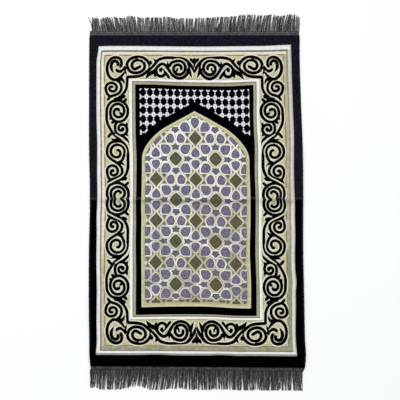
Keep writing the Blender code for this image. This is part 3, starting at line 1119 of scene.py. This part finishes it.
def band_yarn(across, along):
    """The yarn at a place of the cloth: the outer frames take copies with painted sheen down the right
    side and painted shade below.
    """
    number = band_of(across, along)
    name = BANDS[number][0]
    _, _, inner_top, inner_bottom, _ = BANDS[min(number + 1, len(BANDS) - 1)]
    if along < inner_bottom:
        return LOW_SHADE_YARNS.get(name, name)
    if across > 0 and along < inner_top:
        return SIDE_SHEEN_YARNS.get(name, name)
    return name


def grid_stations(edges, start, end, crease):
    """Grid lines: a pair at each edge between bands, some beside the crease, and an even filling."""
    stations = {start, end} | set(crease_stations(crease))
    for edge in edges:
        stations |= {edge - STEP, edge + STEP}
    filled = [start]
    for place in sorted(station for station in stations if start <= station <= end):
        first = filled[-1]
        gap = place - first
        if gap >= LEAST_GRID_STEP:
            steps = math.ceil(gap / GRID_STEP)
            filled += [first + gap * i / steps for i in range(1, steps + 1)]
    filled[-1] = end
    return filled


def add_cloth():
    """The woven cloth itself: one closed sheet with its frames coloured face by face."""
    sides = [band[1] for band in BANDS[1:]]
    ends = [edge for band in BANDS[1:] for edge in band[2:4]]
    sides += [-edge for edge in sides]
    columns = grid_stations(sides, -HALF_WIDTH, HALF_WIDTH, LONG_CREASE_X)
    rows = grid_stations(ends, BOTTOM, TOP, CROSS_CREASE_Y)
    points = [(across, along, 0.0) for along in rows for across in columns]
    for along in rows:
        for across in columns:
            height = BANDS[band_of(across, along)][4]
            rim = min(HALF_WIDTH - abs(across), TOP - along, along - BOTTOM)
            points.append((across, along, height if rim > CLOTH_RIM else height - CLOTH_RIM_DROP))
    yarns = []
    for low, high in zip(rows, rows[1:]):
        for left, right in zip(columns, columns[1:]):
            yarns += ["cloth_back", band_yarn((left + right) / 2.0, (low + high) / 2.0)]
    faces = sheet_faces(len(rows), len(columns))
    yarns += ["black_pile"] * (len(faces) - len(yarns))
    cloth = Piece()
    cloth.add(points, faces, yarns)
    made = cloth.make("cloth", sharp=60.0)
    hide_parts("rug")
    return made


# ---- edges and fringes

# The overlock, in millimetres
EDGE_WRAP_PITCH = 2.6
EDGE_WRAP_MARGIN = 3.0        # left free at each end of a side edge
EDGE_WRAP_SLANT = 2.2
EDGE_THREAD = 0.75            # its half thickness
EDGE_JITTER = 0.35
# The loop from the top round the edge to the underside: distance in from the edge, height
EDGE_WRAP = ((5.0, 3.3), (3.6, 4.1), (0.8, 3.9), (-0.5, 2.0), (0.5, 0.35))


def add_overlock():
    """Thread wrapped over each side edge of the cloth, one slanting loop after another."""
    luck = random.Random(21)
    wraps = Piece()
    count = int((TOP - BOTTOM - 2.0 * EDGE_WRAP_MARGIN) / EDGE_WRAP_PITCH)
    for side in (-1, 1):
        for i in range(count):
            along = BOTTOM + EDGE_WRAP_MARGIN + EDGE_WRAP_PITCH * i
            reach = luck.uniform(-EDGE_JITTER, EDGE_JITTER)
            lean = luck.uniform(-EDGE_JITTER, EDGE_JITTER)
            rings = []
            for k, (inside, height) in enumerate(EDGE_WRAP):
                share = k / (len(EDGE_WRAP) - 1)
                across = side * (HALF_WIDTH - inside - reach * (1.0 - share))
                rings.append((across, along + (0.5 - share) * EDGE_WRAP_SLANT + lean, height))
            add_thread(wraps, rings, EDGE_THREAD, "edge_thread")
    return wraps.make("overlock")


def add_thread(piece, rings, half, finish):
    """A short thread through the places, square in section, with its ends closed."""
    centres = np.array(rings, dtype=float)
    tangents = np.gradient(centres, axis=0)
    tangents /= np.linalg.norm(tangents, axis=1)[:, None]
    level = np.array((0.0, 1.0, 0.0))
    points = []
    for centre, tangent in zip(centres, tangents):
        first = level - tangent * float(level @ tangent)
        first /= np.linalg.norm(first)
        second = np.cross(tangent, first)
        for k in range(4):
            angle = 2.0 * math.pi * (k + 0.5) / 4
            points.append(centre + half * (math.cos(angle) * first + math.sin(angle) * second))
    piece.add(points, tube_faces(len(centres), 4), finish)


# The fringes, in metres
TAPE_THICKNESS = 0.0024
TAPE_INSET = 0.0010           # from the cloth's side edges
YARNS = 620                   # at each end
YARN_ROOT = 0.00085           # half thickness
YARN_TIP = 0.00062
YARN_LAYERS = (0.0, 0.0, 0.0011, 0.0011, 0.0022)  # how high it lies on its neighbours
YARN_ROOT_LIFT = 0.0006       # how far off the floor its root is
YARN_STATIONS = 12
YARN_SIDES = 5
YARN_KINK = 0.0007            # how far it wanders from one station to the next
YARN_STEADY = 0.8             # the share of its wander that it keeps from one station to the next
YARN_FREE = 3.0               # it wanders fully beyond one part in this many of its length
YARN_RISE = 0.15              # how much of the arch over its neighbours its root has behind it
YARN_WEIGHTS = (5, 3, 3)      # how often its three finishes are chosen
YARN_LEAN = 1.4               # 1 is a straight yarn, more is one that leans towards its tip
ROOT_UNDER = 0.002            # how far under the tape a yarn starts
LOCK_SIZES = (3, 5, 6, 8, 10)  # yarns that cling together towards their tips
LOCK_PULL = 0.35
LOCK_SHORT = 0.003            # how much shorter than its neighbours a lock can be
YARN_SHORT = 0.004            # the same for a yarn in its lock
YARN_SHIFT = 0.3              # how far a yarn stands off its place, in pitches
TIP_EXTRA = 0.0050            # the longest tips reach this far past the table's
TIP_LIMIT = REACH - 0.0004
LOCK_SWAY = 0.0024            # how far a lock leans to one side of its neighbours
PARTING_REACH = 0.0045        # how far from a parting its yarns are pushed aside

FringeEnd = namedtuple(
    "FringeEnd",
    "name node slot end left right tape_width stitch_rows worn_corner seed leans tips partings"
    " opening strays finishes",
)
TOP_FRINGE = FringeEnd(
    name="fringe_top_yarn", node="fringe_top", slot="top_fringe_yarn", end=1,
    left=-0.3385, right=0.3315, tape_width=0.0150, stitch_rows=(0.3, 0.62), worn_corner=0.0, seed=3,
    # across and how far the tips lean to the right of their roots
    leans=((-0.34, 0.0), (-0.30, -0.010), (-0.22, -0.008), (-0.15, -0.003), (0.0, 0.001),
           (0.10, 0.007), (0.20, 0.008), (0.30, 0.010), (0.33, 0.002)),
    # across and how far along the tips reach
    tips=((-0.335, 0.5905), (-0.303, 0.5873), (-0.280, 0.5922), (-0.225, 0.5905), (-0.206, 0.5954),
          (-0.183, 0.5905), (-0.102, 0.5905), (-0.037, 0.5857), (0.096, 0.5905), (0.145, 0.5960),
          (0.180, 0.5970), (0.213, 0.5938), (0.232, 0.5970), (0.255, 0.5922), (0.304, 0.5970),
          (0.333, 0.5841)),
    # across and half the width of a parting
    partings=((-0.308, 0.0020), (-0.261, 0.0014), (-0.238, 0.0017), (-0.212, 0.0014),
              (-0.176, 0.0018), (-0.163, 0.0012), (-0.082, 0.0014), (-0.034, 0.0016),
              (-0.011, 0.0012), (0.028, 0.0015), (0.067, 0.0014), (0.096, 0.0016),
              (0.128, 0.0014), (0.219, 0.0015), (0.229, 0.0012), (0.305, 0.0017)),
    opening=0.5,
    # stray yarns: where each starts and ends across, and how far along it reaches
    strays=((-0.336, -0.3520, 0.5970), (-0.335, -0.3500, 0.5960), (-0.318, -0.3250, 0.5985),
            (0.247, 0.2520, 0.5990)),
    finishes=("tape", "tape_stitch", "yarn_mid", "yarn_light", "yarn_dark"),
)
BOTTOM_FRINGE = FringeEnd(
    name="fringe_bottom_yarn", node="fringe_bottom", slot="bottom_fringe_yarn", end=-1,
    left=-0.3370, right=0.3350, tape_width=0.0125, stitch_rows=(0.85,), worn_corner=0.006, seed=8,
    leans=((-0.335, 0.0), (-0.28, -0.003), (-0.20, -0.007), (-0.10, -0.007), (0.0, 0.0),
           (0.08, 0.002), (0.335, 0.0)),
    tips=((-0.338, 0.5904), (-0.319, 0.5904), (-0.294, 0.5952), (-0.243, 0.5952), (-0.211, 0.5904),
          (-0.185, 0.5840), (-0.160, 0.5872), (-0.141, 0.5952), (-0.096, 0.5952), (-0.052, 0.5920),
          (0.012, 0.5962), (0.069, 0.5936), (0.101, 0.5936), (0.139, 0.5992), (0.171, 0.5992),
          (0.190, 0.5936), (0.218, 0.5992), (0.266, 0.5958), (0.298, 0.5992), (0.330, 0.5992)),
    partings=((-0.284, 0.0016), (-0.216, 0.0020), (-0.197, 0.0017), (-0.182, 0.0016),
              (-0.115, 0.0019), (-0.017, 0.0020), (0.005, 0.0022), (0.066, 0.0017),
              (0.082, 0.0017), (0.171, 0.0017), (0.188, 0.0022), (0.301, 0.0017)),
    opening=1.0,
    strays=((-0.331, -0.3370, 0.5930), (0.320, 0.3320, 0.5995)),
    finishes=("low_tape", "low_stitch", "low_yarn_mid", "low_yarn_light", "low_yarn_dark"),
)


def edge_value(rows, station, column=1):
    """One number of a table at one station."""
    return float(smooth_values(rows, station, column))


def pushed_aside(x, partings):
    """How far a yarn stands away from the partings beside it."""
    push = 0.0
    for place, half in partings:
        near = max(0.0, 1.0 - abs(x - place) / PARTING_REACH)
        push += math.copysign(half * near, x - place)
    return push


def inner_edge(x, end):
    """Where the tape at one end of the cloth begins, at a place across."""
    return edge_value(END_EDGES, x, 1 if end > 0 else 2) + end * TOUCH_GAP


def add_fringe(fringe):
    """A stitched tape along one end of the cloth with its yarns, in place of the plain fringe."""
    luck = random.Random(fringe.seed)
    piece = Piece()
    add_tape(piece, fringe, luck)
    pitch = (fringe.right - fringe.left) / YARNS
    finishes = fringe.finishes[2:]
    lock_end = 0
    for i in range(YARNS):
        x = fringe.left + pitch * (i + 0.5) + luck.uniform(-YARN_SHIFT, YARN_SHIFT) * pitch
        if i >= lock_end:
            size = luck.choice(LOCK_SIZES)
            lock_end = i + size
            lock_x = fringe.left + pitch * (i + size / 2.0)
            sway = luck.uniform(-LOCK_SWAY, LOCK_SWAY)
            lock_short = LOCK_SHORT * luck.random() ** 1.5
        reach = edge_value(fringe.tips, x) + TIP_EXTRA - lock_short
        tip_y = min(reach - YARN_SHORT * luck.random() ** 2, TIP_LIMIT)
        tip_x = x + (lock_x - x) * LOCK_PULL + sway + edge_value(fringe.leans, x)
        root_y = abs(inner_edge(x, fringe.end)) + fringe.tape_width - ROOT_UNDER
        bend = (pushed_aside(x, fringe.partings), fringe.opening)
        add_yarn(piece, (x, root_y), (tip_x, tip_y), bend, fringe.end, luck, finishes)
    dark = finishes[2:] * 3  # add_yarn chooses from three finishes, and every stray is dark
    for x, tip_x, tip_y in fringe.strays:
        root_y = abs(inner_edge(x, fringe.end)) + fringe.tape_width
        add_yarn(piece, (x, root_y), (tip_x, tip_y), (0.0, 0.5), fringe.end, luck, dark)
    made = piece.make(fringe.name, fringe.slot, place=lambda points: points, sharp=50.0)
    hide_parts(fringe.node)
    return made


def add_yarn(piece, root, tip, bend, end, luck, finishes):
    """One yarn: it lies on the floor or on its neighbours, tapers, and wanders a little.

    The bend is how far a parting pushes it aside, and at which share of its length most.
    """
    finish = luck.choices(finishes, weights=YARN_WEIGHTS)[0]
    level = luck.choice(YARN_LAYERS)
    push, opening = bend
    wander = 0.0
    points = []
    for k in range(YARN_STATIONS):
        share = k / (YARN_STATIONS - 1)
        half = YARN_ROOT + (YARN_TIP - YARN_ROOT) * share
        kink = luck.uniform(-YARN_KINK, YARN_KINK) * min(1.0, YARN_FREE * share)
        wander = YARN_STEADY * wander + kink
        spread = max(0.0, 1.0 - abs(share - opening) / max(opening, 1.0 - opening))
        x = root[0] + (tip[0] - root[0]) * share**YARN_LEAN + wander + push * spread
        y = end * (root[1] + (tip[1] - root[1]) * share)
        arch = math.sin(math.pi * min(share + YARN_RISE, 1.0))
        z = half + YARN_ROOT_LIFT * (1.0 - share) + level * arch
        for side in range(YARN_SIDES):
            angle = 2.0 * math.pi * (side + 0.25) / YARN_SIDES
            points.append((x + half * math.cos(angle), y, z + half * math.sin(angle)))
    piece.add(points, tube_faces(YARN_STATIONS, YARN_SIDES), finish)


# The tape and its stitches, in metres
WORN_LENGTH = 0.030           # how much of the tape's end a worn corner takes
TAPE_STEPS = 120
TAPE_UNEVEN = 0.0004          # of its outer edge
STITCH_PITCH = 0.0062
STITCH_MARGIN = 0.002
STITCH_HALF = 0.00075
STITCH_SLANT = 0.0012
STITCH_REACH = 0.36           # of the pitch, to each side


def add_tape(piece, fringe, luck):
    """The tape: a soft-edged strip with rows of slanting stitches on it."""
    end, width = fringe.end, fringe.tape_width
    end_y = edge_value(END_EDGES, 0.0, 1 if end > 0 else 2)
    left = edge_value(SIDE_EDGES, end_y) + TAPE_INSET
    right = edge_value(SIDE_EDGES, end_y, 2) - TAPE_INSET
    # distance out from the cloth, height
    section = ((0.0, 0.0), (0.0, 0.0018), (0.0009, TAPE_THICKNESS), (width - 0.0012, TAPE_THICKNESS),
               (width, 0.0014), (width, 0.0))
    points = []
    for i in range(TAPE_STEPS + 1):
        x = left + (right - left) * i / TAPE_STEPS
        uneven = luck.uniform(-TAPE_UNEVEN, TAPE_UNEVEN)
        corner = fringe.worn_corner * float(smooth_step((x - right + WORN_LENGTH) / WORN_LENGTH))
        for out, z in section:
            worn_and_shaded = corner * (out / width) ** 2
            points.append((x - worn_and_shaded, inner_edge(x, end) + end * (out + uneven * out / width), z))
    piece.add(points, tube_faces(TAPE_STEPS + 1, len(section)), fringe.finishes[0])
    # along a stitch: share of its reach, share of its slant, height over the tape
    thread = ((-1.0, -1.0, -0.0003), (-0.4, -0.5, 0.0004), (0.4, 0.5, 0.0004), (1.0, 1.0, -0.0003))
    reach = STITCH_PITCH * STITCH_REACH
    for row, share in enumerate(fringe.stitch_rows):
        slant = STITCH_SLANT if row % 2 else -STITCH_SLANT
        for i in range(int((right - left - 2.0 * STITCH_MARGIN) / STITCH_PITCH)):
            x = left + STITCH_MARGIN + STITCH_PITCH * (i + 0.5)
            y = inner_edge(x, end) + end * width * share
            rings = [(x + reach * a, y + slant * b, TAPE_THICKNESS + over) for a, b, over in thread]
            add_thread(piece, rings, STITCH_HALF, fringe.finishes[1])


# ---- materials

CREASE_SHADING_SPAN = (-0.020, 0.010)   # the strip beside the cross crease over which painted shade and a painted highlight lie
NAP_SHADE_SPAN = (-0.003, 0.001)    # the strip in which the pile turns the other way and its painted shade sets in
# profiles across the crease: painted shade just below it, and a painted highlight just above it
DARK_SIDE = ((0.0, 0.0), (0.20, 0.30), (0.36, 0.80), (0.52, 1.0), (0.65, 0.6), (0.74, 0.0))
LIGHT_SIDE = ((0.65, 0.0), (0.75, 1.0), (0.88, 0.7), (1.0, 0.0))
WEFT, WARP = 420.0, 560.0     # ribs in a metre
WAVE_RADIANS = 20.0           # of a wave texture at scale 1, in each metre
PATCHES, FLECKS, FUZZ, UNEVEN = 90.0, 210.0, 1400.0, 60.0  # scales of noise
GAP_SHADE, FOLD_SHADE = 0.55, 0.30  # how dark the gaps of the weave and the painted shade below the crease are

DARK = {"sheen": 0.0, "specular": 0.0, "roughness": 0.95, "glint": (50, 49, 56)}
# painted shade: the field's colours turn duller towards the lower right, and darker just below the
# crease
FIELD_SHADE_FALLOFF = {"fade": (0.25, -0.30), "slant": 0.6, "fold": 0.9}
FINISHES = {
    # main colour and the colour of its patches, as seen, and what else sets it apart: light, its
    # flecks; low, the pair of colours it shifts to along the cloth, painted light and shade; nap,
    # its colour below the cross crease, painted shade of pile brushed the other way; fold,
    # how much painted shade darkens it just below the crease; glint, its painted highlight just above
    # it
    "black_pile": ((26, 25, 35), (17, 16, 24), dict(light=(38, 37, 50), nap=(2, 2, 4), **DARK)),
    "scroll_pile": ((9, 7, 6), (5, 4, 3), dict(nap=(2, 2, 2), **DARK)),
    "niche_pile": ((4, 3, 8), (2, 2, 5), dict(nap=(1, 1, 2), **DARK)),
    # painted shadow on the white frame's outer rim, with copies for the right side and the bottom
    "dull_white": ((214, 215, 213), (198, 199, 196)),
    "dull_side": ((188, 184, 173), (168, 165, 154)),
    "dull_low": ((160, 159, 147), (140, 139, 128), dict(patch=60.0)),
    "white_yarn": ((242, 242, 244), (230, 231, 233), dict(fold=0.25)),
    # white_side, grey_side and cream_side carry painted sheen down the right side; cream_low and the
    # low pairs carry painted shade and light along the cloth
    "white_side": ((218, 213, 201), (206, 200, 188), dict(
        fold=0.4, low=((230, 228, 221), (216, 213, 205)), fade=(0.02, -0.02))),
    "inner_white": ((250, 248, 243), (239, 237, 231), dict(fold=0.25)),
    "grey_line": ((130, 129, 114), (110, 109, 96), dict(fold=0.3)),
    "outer_grey": ((130, 129, 114), (110, 109, 96), dict(fold=0.3)),
    "grey_side": ((162, 158, 140), (138, 134, 117), dict(fold=0.3)),
    "cream_yarn": ((238, 233, 211), (222, 217, 190), dict(
        fold=0.3, low=((206, 201, 173), (184, 179, 150)), fade=(-0.13, -0.23))),
    "cream_side": ((197, 189, 161), (176, 168, 141), dict(
        patch=60.0, fold=0.7, low=((158, 154, 121), (134, 130, 98)), fade=(-0.10, -0.22))),
    "cream_low": ((171, 168, 145), (142, 140, 116), dict(patch=60.0)),
    "brown_line": ((140, 134, 106), (122, 116, 88), dict(fold=0.4)),
    "gold_ground": ((197, 194, 152), (182, 179, 137), dict(light=(213, 210, 178), fold=0.7)),
    # painted shade beside the inner white frame
    "worn_gold": ((170, 170, 147), (154, 154, 130)),
    "olive_band": ((172, 169, 144), (154, 151, 126), dict(fold=0.4)),
    "ivory_yarn": ((229, 227, 206), (215, 212, 187), dict(fold=0.6)),
    "arch_gold": ((211, 208, 162), (196, 192, 146), dict(light=(220, 216, 172), fold=0.5)),
    "arch_gold_inside": ((193, 187, 151), (174, 168, 132), dict(light=(212, 207, 170), fold=0.5)),
    "field_ground": ((212, 211, 192), (174, 172, 144), dict(
        light=(232, 232, 224), low=((176, 173, 150), (138, 135, 108)), patch=34.0, **FIELD_SHADE_FALLOFF)),
    "white_interlace": ((254, 254, 253), (214, 214, 206), dict(
        low=((246, 245, 238), (164, 162, 144)), patch=22.0, **FIELD_SHADE_FALLOFF)),
    "cream_interlace": ((242, 242, 224), (206, 206, 180), dict(
        low=((214, 211, 189), (164, 161, 136)), patch=22.0, **FIELD_SHADE_FALLOFF)),
    "olive_edge": ((76, 73, 46), (64, 60, 36), dict(fold=0.4)),
    "olive_pile": ((92, 88, 65), (76, 72, 49), dict(light=(112, 107, 88), fold=0.4)),
    "purple_edge": ((96, 91, 98), (80, 76, 80), dict(light=(126, 122, 130), fold=0.6)),
    "purple_pile": ((110, 104, 131), (92, 87, 110), dict(light=(160, 155, 176), patch=150.0, fold=0.6)),
    "dusk_pile": ((104, 99, 116), (88, 84, 98), dict(light=(134, 130, 142), patch=150.0, fold=0.6)),
    "fleck_pile": ((118, 114, 86), (100, 96, 70), dict(fold=0.4)),
    "lattice_white": ((240, 240, 246), (222, 222, 230)),
    "lattice_link": ((186, 186, 194), (160, 160, 168)),
    "lattice_eye": ((150, 150, 154), (126, 126, 132)),
    "cloth_back": ((150, 146, 126), (120, 116, 100)),
    "edge_thread": ((34, 34, 40), (22, 22, 26), dict(specular=0.1, sheen=0.0)),
    "tape": ((72, 72, 75), (50, 50, 54), dict(specular=0.1, sheen=0.05)),
    "tape_stitch": ((142, 142, 145), (108, 108, 112), dict(sheen=0.05)),
    # yarn_light: paler strands, which also stand in for painted highlights on the shiny yarn
    "yarn_mid": ((86, 85, 89), (68, 67, 71), dict(roughness=0.6)),
    "yarn_light": ((150, 149, 154), (118, 117, 122), dict(roughness=0.55)),
    "yarn_dark": ((52, 51, 55), (38, 37, 41), dict(roughness=0.65)),
    "low_tape": ((76, 77, 80), (42, 43, 46), dict(specular=0.1, sheen=0.05)),
    "low_stitch": ((26, 27, 30), (16, 17, 20), dict(sheen=0.0)),
    # the bottom fringe's yarns: darker copies of the top's, painted shade
    "low_yarn_mid": ((62, 63, 66), (50, 51, 54), dict(roughness=0.6)),
    "low_yarn_light": ((104, 105, 109), (82, 83, 87), dict(roughness=0.55)),
    "low_yarn_dark": ((40, 40, 43), (30, 30, 33), dict(roughness=0.65)),
}


def srgb(colour, share=1.0):
    """A colour as seen, each part up to 255, to a shader's linear values, times the share."""
    parts = []
    for part in colour:
        seen = part / 255.0
        parts.append(seen / 12.92 if seen <= 0.04045 else ((seen + 0.055) / 1.055) ** 2.4)
    return (*(part * share for part in parts), 1.0)


class Paint:
    """A material whose colour is worked out by nodes, on the places of the object itself."""

    def __init__(self, name):
        self.material = bpy.data.materials.new(name)
        self.material.use_nodes = True
        self.nodes = self.material.node_tree.nodes
        self.shader = self.nodes["Principled BSDF"]
        self.place = self.nodes.new("ShaderNodeTexCoord").outputs["Object"]

    def fill(self, node, inputs):
        """Sets a node's inputs, each to a value or joined to a socket."""
        for name, value in inputs.items():
            if isinstance(value, bpy.types.NodeSocket):
                self.material.node_tree.links.new(value, node.inputs[name])
            else:
                node.inputs[name].default_value = value

    def add(self, kind, inputs, **settings):
        """A new node, its settings made and its inputs filled."""
        node = self.nodes.new("ShaderNode" + kind)
        for name, value in settings.items():
            setattr(node, name, value)
        self.fill(node, inputs)
        return node

    def combine(self, operation, *inputs):
        """A math node on sockets and numbers."""
        return self.add("Math", dict(enumerate(inputs)), operation=operation).outputs[0]

    def mix(self, factor, first, second):
        """A colour between two, which are sockets or colours."""
        return self.add("Mix", {0: factor, 6: first, 7: second}, data_type="RGBA").outputs[2]

    def share(self, socket, start, end, kind="LINEAR"):
        """A share from 0 to 1 as a socket's value runs from start to end."""
        inputs = {
            "Value": socket, "From Min": min(start, end), "From Max": max(start, end),
            "To Min": float(start > end), "To Max": float(start < end),
        }
        return self.add("MapRange", inputs, interpolation_type=kind).outputs["Result"]

    def noise(self, scale, low, high, detail=3.0, stretch=(1.0, 1.0, 1.0)):
        """Noise as a share from 0 to 1 between its low and high marks."""
        place = self.add("Mapping", {"Vector": self.place, "Scale": stretch}).outputs["Vector"]
        noise = self.add("TexNoise", {"Vector": place, "Scale": scale, "Detail": detail})
        return self.share(noise.outputs["Fac"], low, high)

    def ribs(self, direction, per_metre):
        """Ribs of yarn: a rounded wave across the given direction."""
        inputs = {
            "Vector": self.place, "Scale": per_metre / (WAVE_RADIANS / (2.0 * math.pi)),
            "Distortion": 1.2, "Detail": 1.0, "Detail Scale": 1.5,
        }
        return self.add("TexWave", inputs, wave_type="BANDS", bands_direction=direction).outputs["Fac"]

    def fold(self, along, stops):
        """How strongly the crease is painted with shade and highlight: a profile across the crease,
        uneven along it.
        """
        start, end = (CROSS_CREASE_Y + offset for offset in CREASE_SHADING_SPAN)
        ramp = self.add("ValToRGB", {"Fac": self.share(along, start, end)})
        points = ramp.color_ramp.elements
        while len(points) < len(stops):
            points.new(0.5)
        for point, (position, value) in zip(points, stops):
            point.position = position
            point.color = (value, value, value, 1.0)
        return self.combine("MULTIPLY", ramp.outputs["Color"], self.noise(UNEVEN, 0.2, 0.6))


def weave_colour(paint, along, weave, main, shade, **look):
    """The colour of yarn or pile: patches and flecks, and painted light and shade that shift it along
    the cloth and at the cross crease.
    """
    patches = paint.noise(look.get("patch", PATCHES), 0.35, 0.65)
    colour = paint.mix(patches, srgb(main), srgb(shade))
    if "light" in look:
        flecks = paint.noise(FLECKS, 0.50, 0.68, 2.0, (1.0, 1.6, 1.0))
        colour = paint.mix(flecks, colour, srgb(look["light"]))
    # painted light and shade: the colour shifts to the low pair along the cloth
    if "low" in look:
        worn_and_shaded = paint.mix(patches, *(srgb(tone) for tone in look["low"]))
        across = paint.add("SeparateXYZ", {"Vector": paint.place}).outputs["X"]
        slanted = paint.combine("MULTIPLY_ADD", across, -look.get("slant", 0.0), along)
        colour = paint.mix(paint.share(slanted, *look["fade"], "SMOOTHSTEP"), colour, worn_and_shaded)
    gaps = paint.combine("MULTIPLY_ADD", weave, -0.30, 0.22)
    colour = paint.mix(gaps, colour, srgb(shade, GAP_SHADE))
    # painted shade: the pile below the cross crease, brushed the other way, is darker
    if "nap" in look:
        start, end = (CROSS_CREASE_Y + offset for offset in NAP_SHADE_SPAN)
        above = paint.share(along, start, end, "SMOOTHSTEP")
        colour = paint.mix(above, srgb(look["nap"]), colour)
    # painted shade just below the crease
    if "fold" in look:
        bent = paint.combine("MULTIPLY", paint.fold(along, DARK_SIDE), look["fold"])
        colour = paint.mix(bent, colour, srgb(shade, FOLD_SHADE))
    if "glint" in look:
        colour = paint.mix(paint.fold(along, LIGHT_SIDE), colour, srgb(look["glint"]))
    return colour


@functools.cache
def woven(name):
    """The finish of that name: yarn or pile with ribs of weft and warp, fuzz and a soft sheen."""
    main, shade, *more = FINISHES[name]
    look = dict(*more)
    paint = Paint(name)
    along = paint.add("SeparateXYZ", {"Vector": paint.place}).outputs["Y"]
    weave = paint.combine("MULTIPLY", paint.ribs("Y", WEFT), paint.ribs("X", WARP))
    surface = paint.combine("ADD", weave, paint.noise(FUZZ, 0.3, 0.7))
    bump = paint.add("Bump", {"Strength": 0.35, "Distance": 0.0004, "Height": surface})
    paint.fill(paint.shader, {
        "Base Color": weave_colour(paint, along, weave, main, shade, **look),
        "Normal": bump.outputs["Normal"],
        "Roughness": look.get("roughness", 0.85),
        "Specular IOR Level": look.get("specular", 0.2),
        "Sheen Weight": look.get("sheen", 0.15),
        "Sheen Roughness": 0.5,
    })
    return paint.material


# ---- floor, light, camera

FLOOR_HALF = 3.0
FLOOR_DROP = 0.0002           # keeps the floor from flickering through the cloth's underside
WORLD_STRENGTH = 0.86
KEY_LIGHT = (-0.9, 1.1, 2.6)
KEY_SIZE = 2.4
KEY_POWER = 26.0

CAMERA_AIM = Vector((0.0122, 0.0010, 0.003))
CAMERA_DISTANCE = 2.6
CAMERA_FROM_RIGHT = math.radians(1.5)
CAMERA_FROM_BELOW = math.radians(3.0)
VIEW_WIDTH = 1.276            # metres seen across the picture, at the aim
SENSOR = 36.0


def add_floor():
    """A plain pale floor."""
    mesh = bpy.data.meshes.new("floor")
    corners = rectangle(0.0, 0.0, FLOOR_HALF, FLOOR_HALF)
    mesh.from_pydata([(x, y, -FLOOR_DROP) for x, y in corners], [], [(0, 1, 2, 3)])
    paint = Paint("floor")
    colour = paint.mix(paint.noise(3.0, 0.3, 0.7), srgb((248, 251, 252)), srgb((246, 250, 251)))
    paint.fill(paint.shader, {"Base Color": colour, "Roughness": 0.9, "Specular IOR Level": 0.1})
    mesh.materials.append(paint.material)
    floor = bpy.data.objects.new("floor", mesh)
    bpy.context.scene.collection.objects.link(floor)


def add_light():
    """Soft light from all round, and a wide lamp above the upper left."""
    world = bpy.data.worlds.new("studio")
    world.use_nodes = True
    background = world.node_tree.nodes["Background"]
    background.inputs["Color"].default_value = (1.0, 1.0, 1.0, 1.0)
    background.inputs["Strength"].default_value = WORLD_STRENGTH
    bpy.context.scene.world = world
    lamp = bpy.data.lights.new("key", "AREA")
    lamp.shape = "SQUARE"
    lamp.size = KEY_SIZE
    lamp.energy = KEY_POWER
    holder = bpy.data.objects.new("key", lamp)
    holder.location = KEY_LIGHT
    holder.rotation_euler = (-Vector(KEY_LIGHT)).to_track_quat("-Z", "Y").to_euler()
    bpy.context.scene.collection.objects.link(holder)


def add_camera():
    """Looks straight down at the rug, from a little below its middle and to the right."""
    away = Vector((math.sin(CAMERA_FROM_RIGHT), -math.sin(CAMERA_FROM_BELOW), 0.0))
    away.z = math.sqrt(1.0 - away.length_squared)
    camera = bpy.data.cameras.new("camera")
    camera.sensor_width = SENSOR
    camera.lens = SENSOR * CAMERA_DISTANCE / VIEW_WIDTH
    holder = bpy.data.objects.new("camera", camera)
    holder.location = CAMERA_AIM + away * CAMERA_DISTANCE
    right = Vector((0.0, 1.0, 0.0)).cross(away).normalized()
    turned = Matrix((right, away.cross(right), away)).transposed()
    holder.rotation_euler = turned.to_euler()
    bpy.context.scene.collection.objects.link(holder)
    bpy.context.scene.camera = holder


def build():
    """Makes everything, in the order in which it lies."""
    bpy.context.scene.view_settings.view_transform = "Standard"
    cloth = add_cloth()
    pattern = [*add_scrollwork(), add_arch_band(), add_field_plate(), *add_field(), add_lattice()]
    pattern.append(add_overlock())
    fringes = [add_fringe(fringe) for fringe in (TOP_FRINGE, BOTTOM_FRINGE)]
    add_floor()
    add_light()
    add_camera()


build()
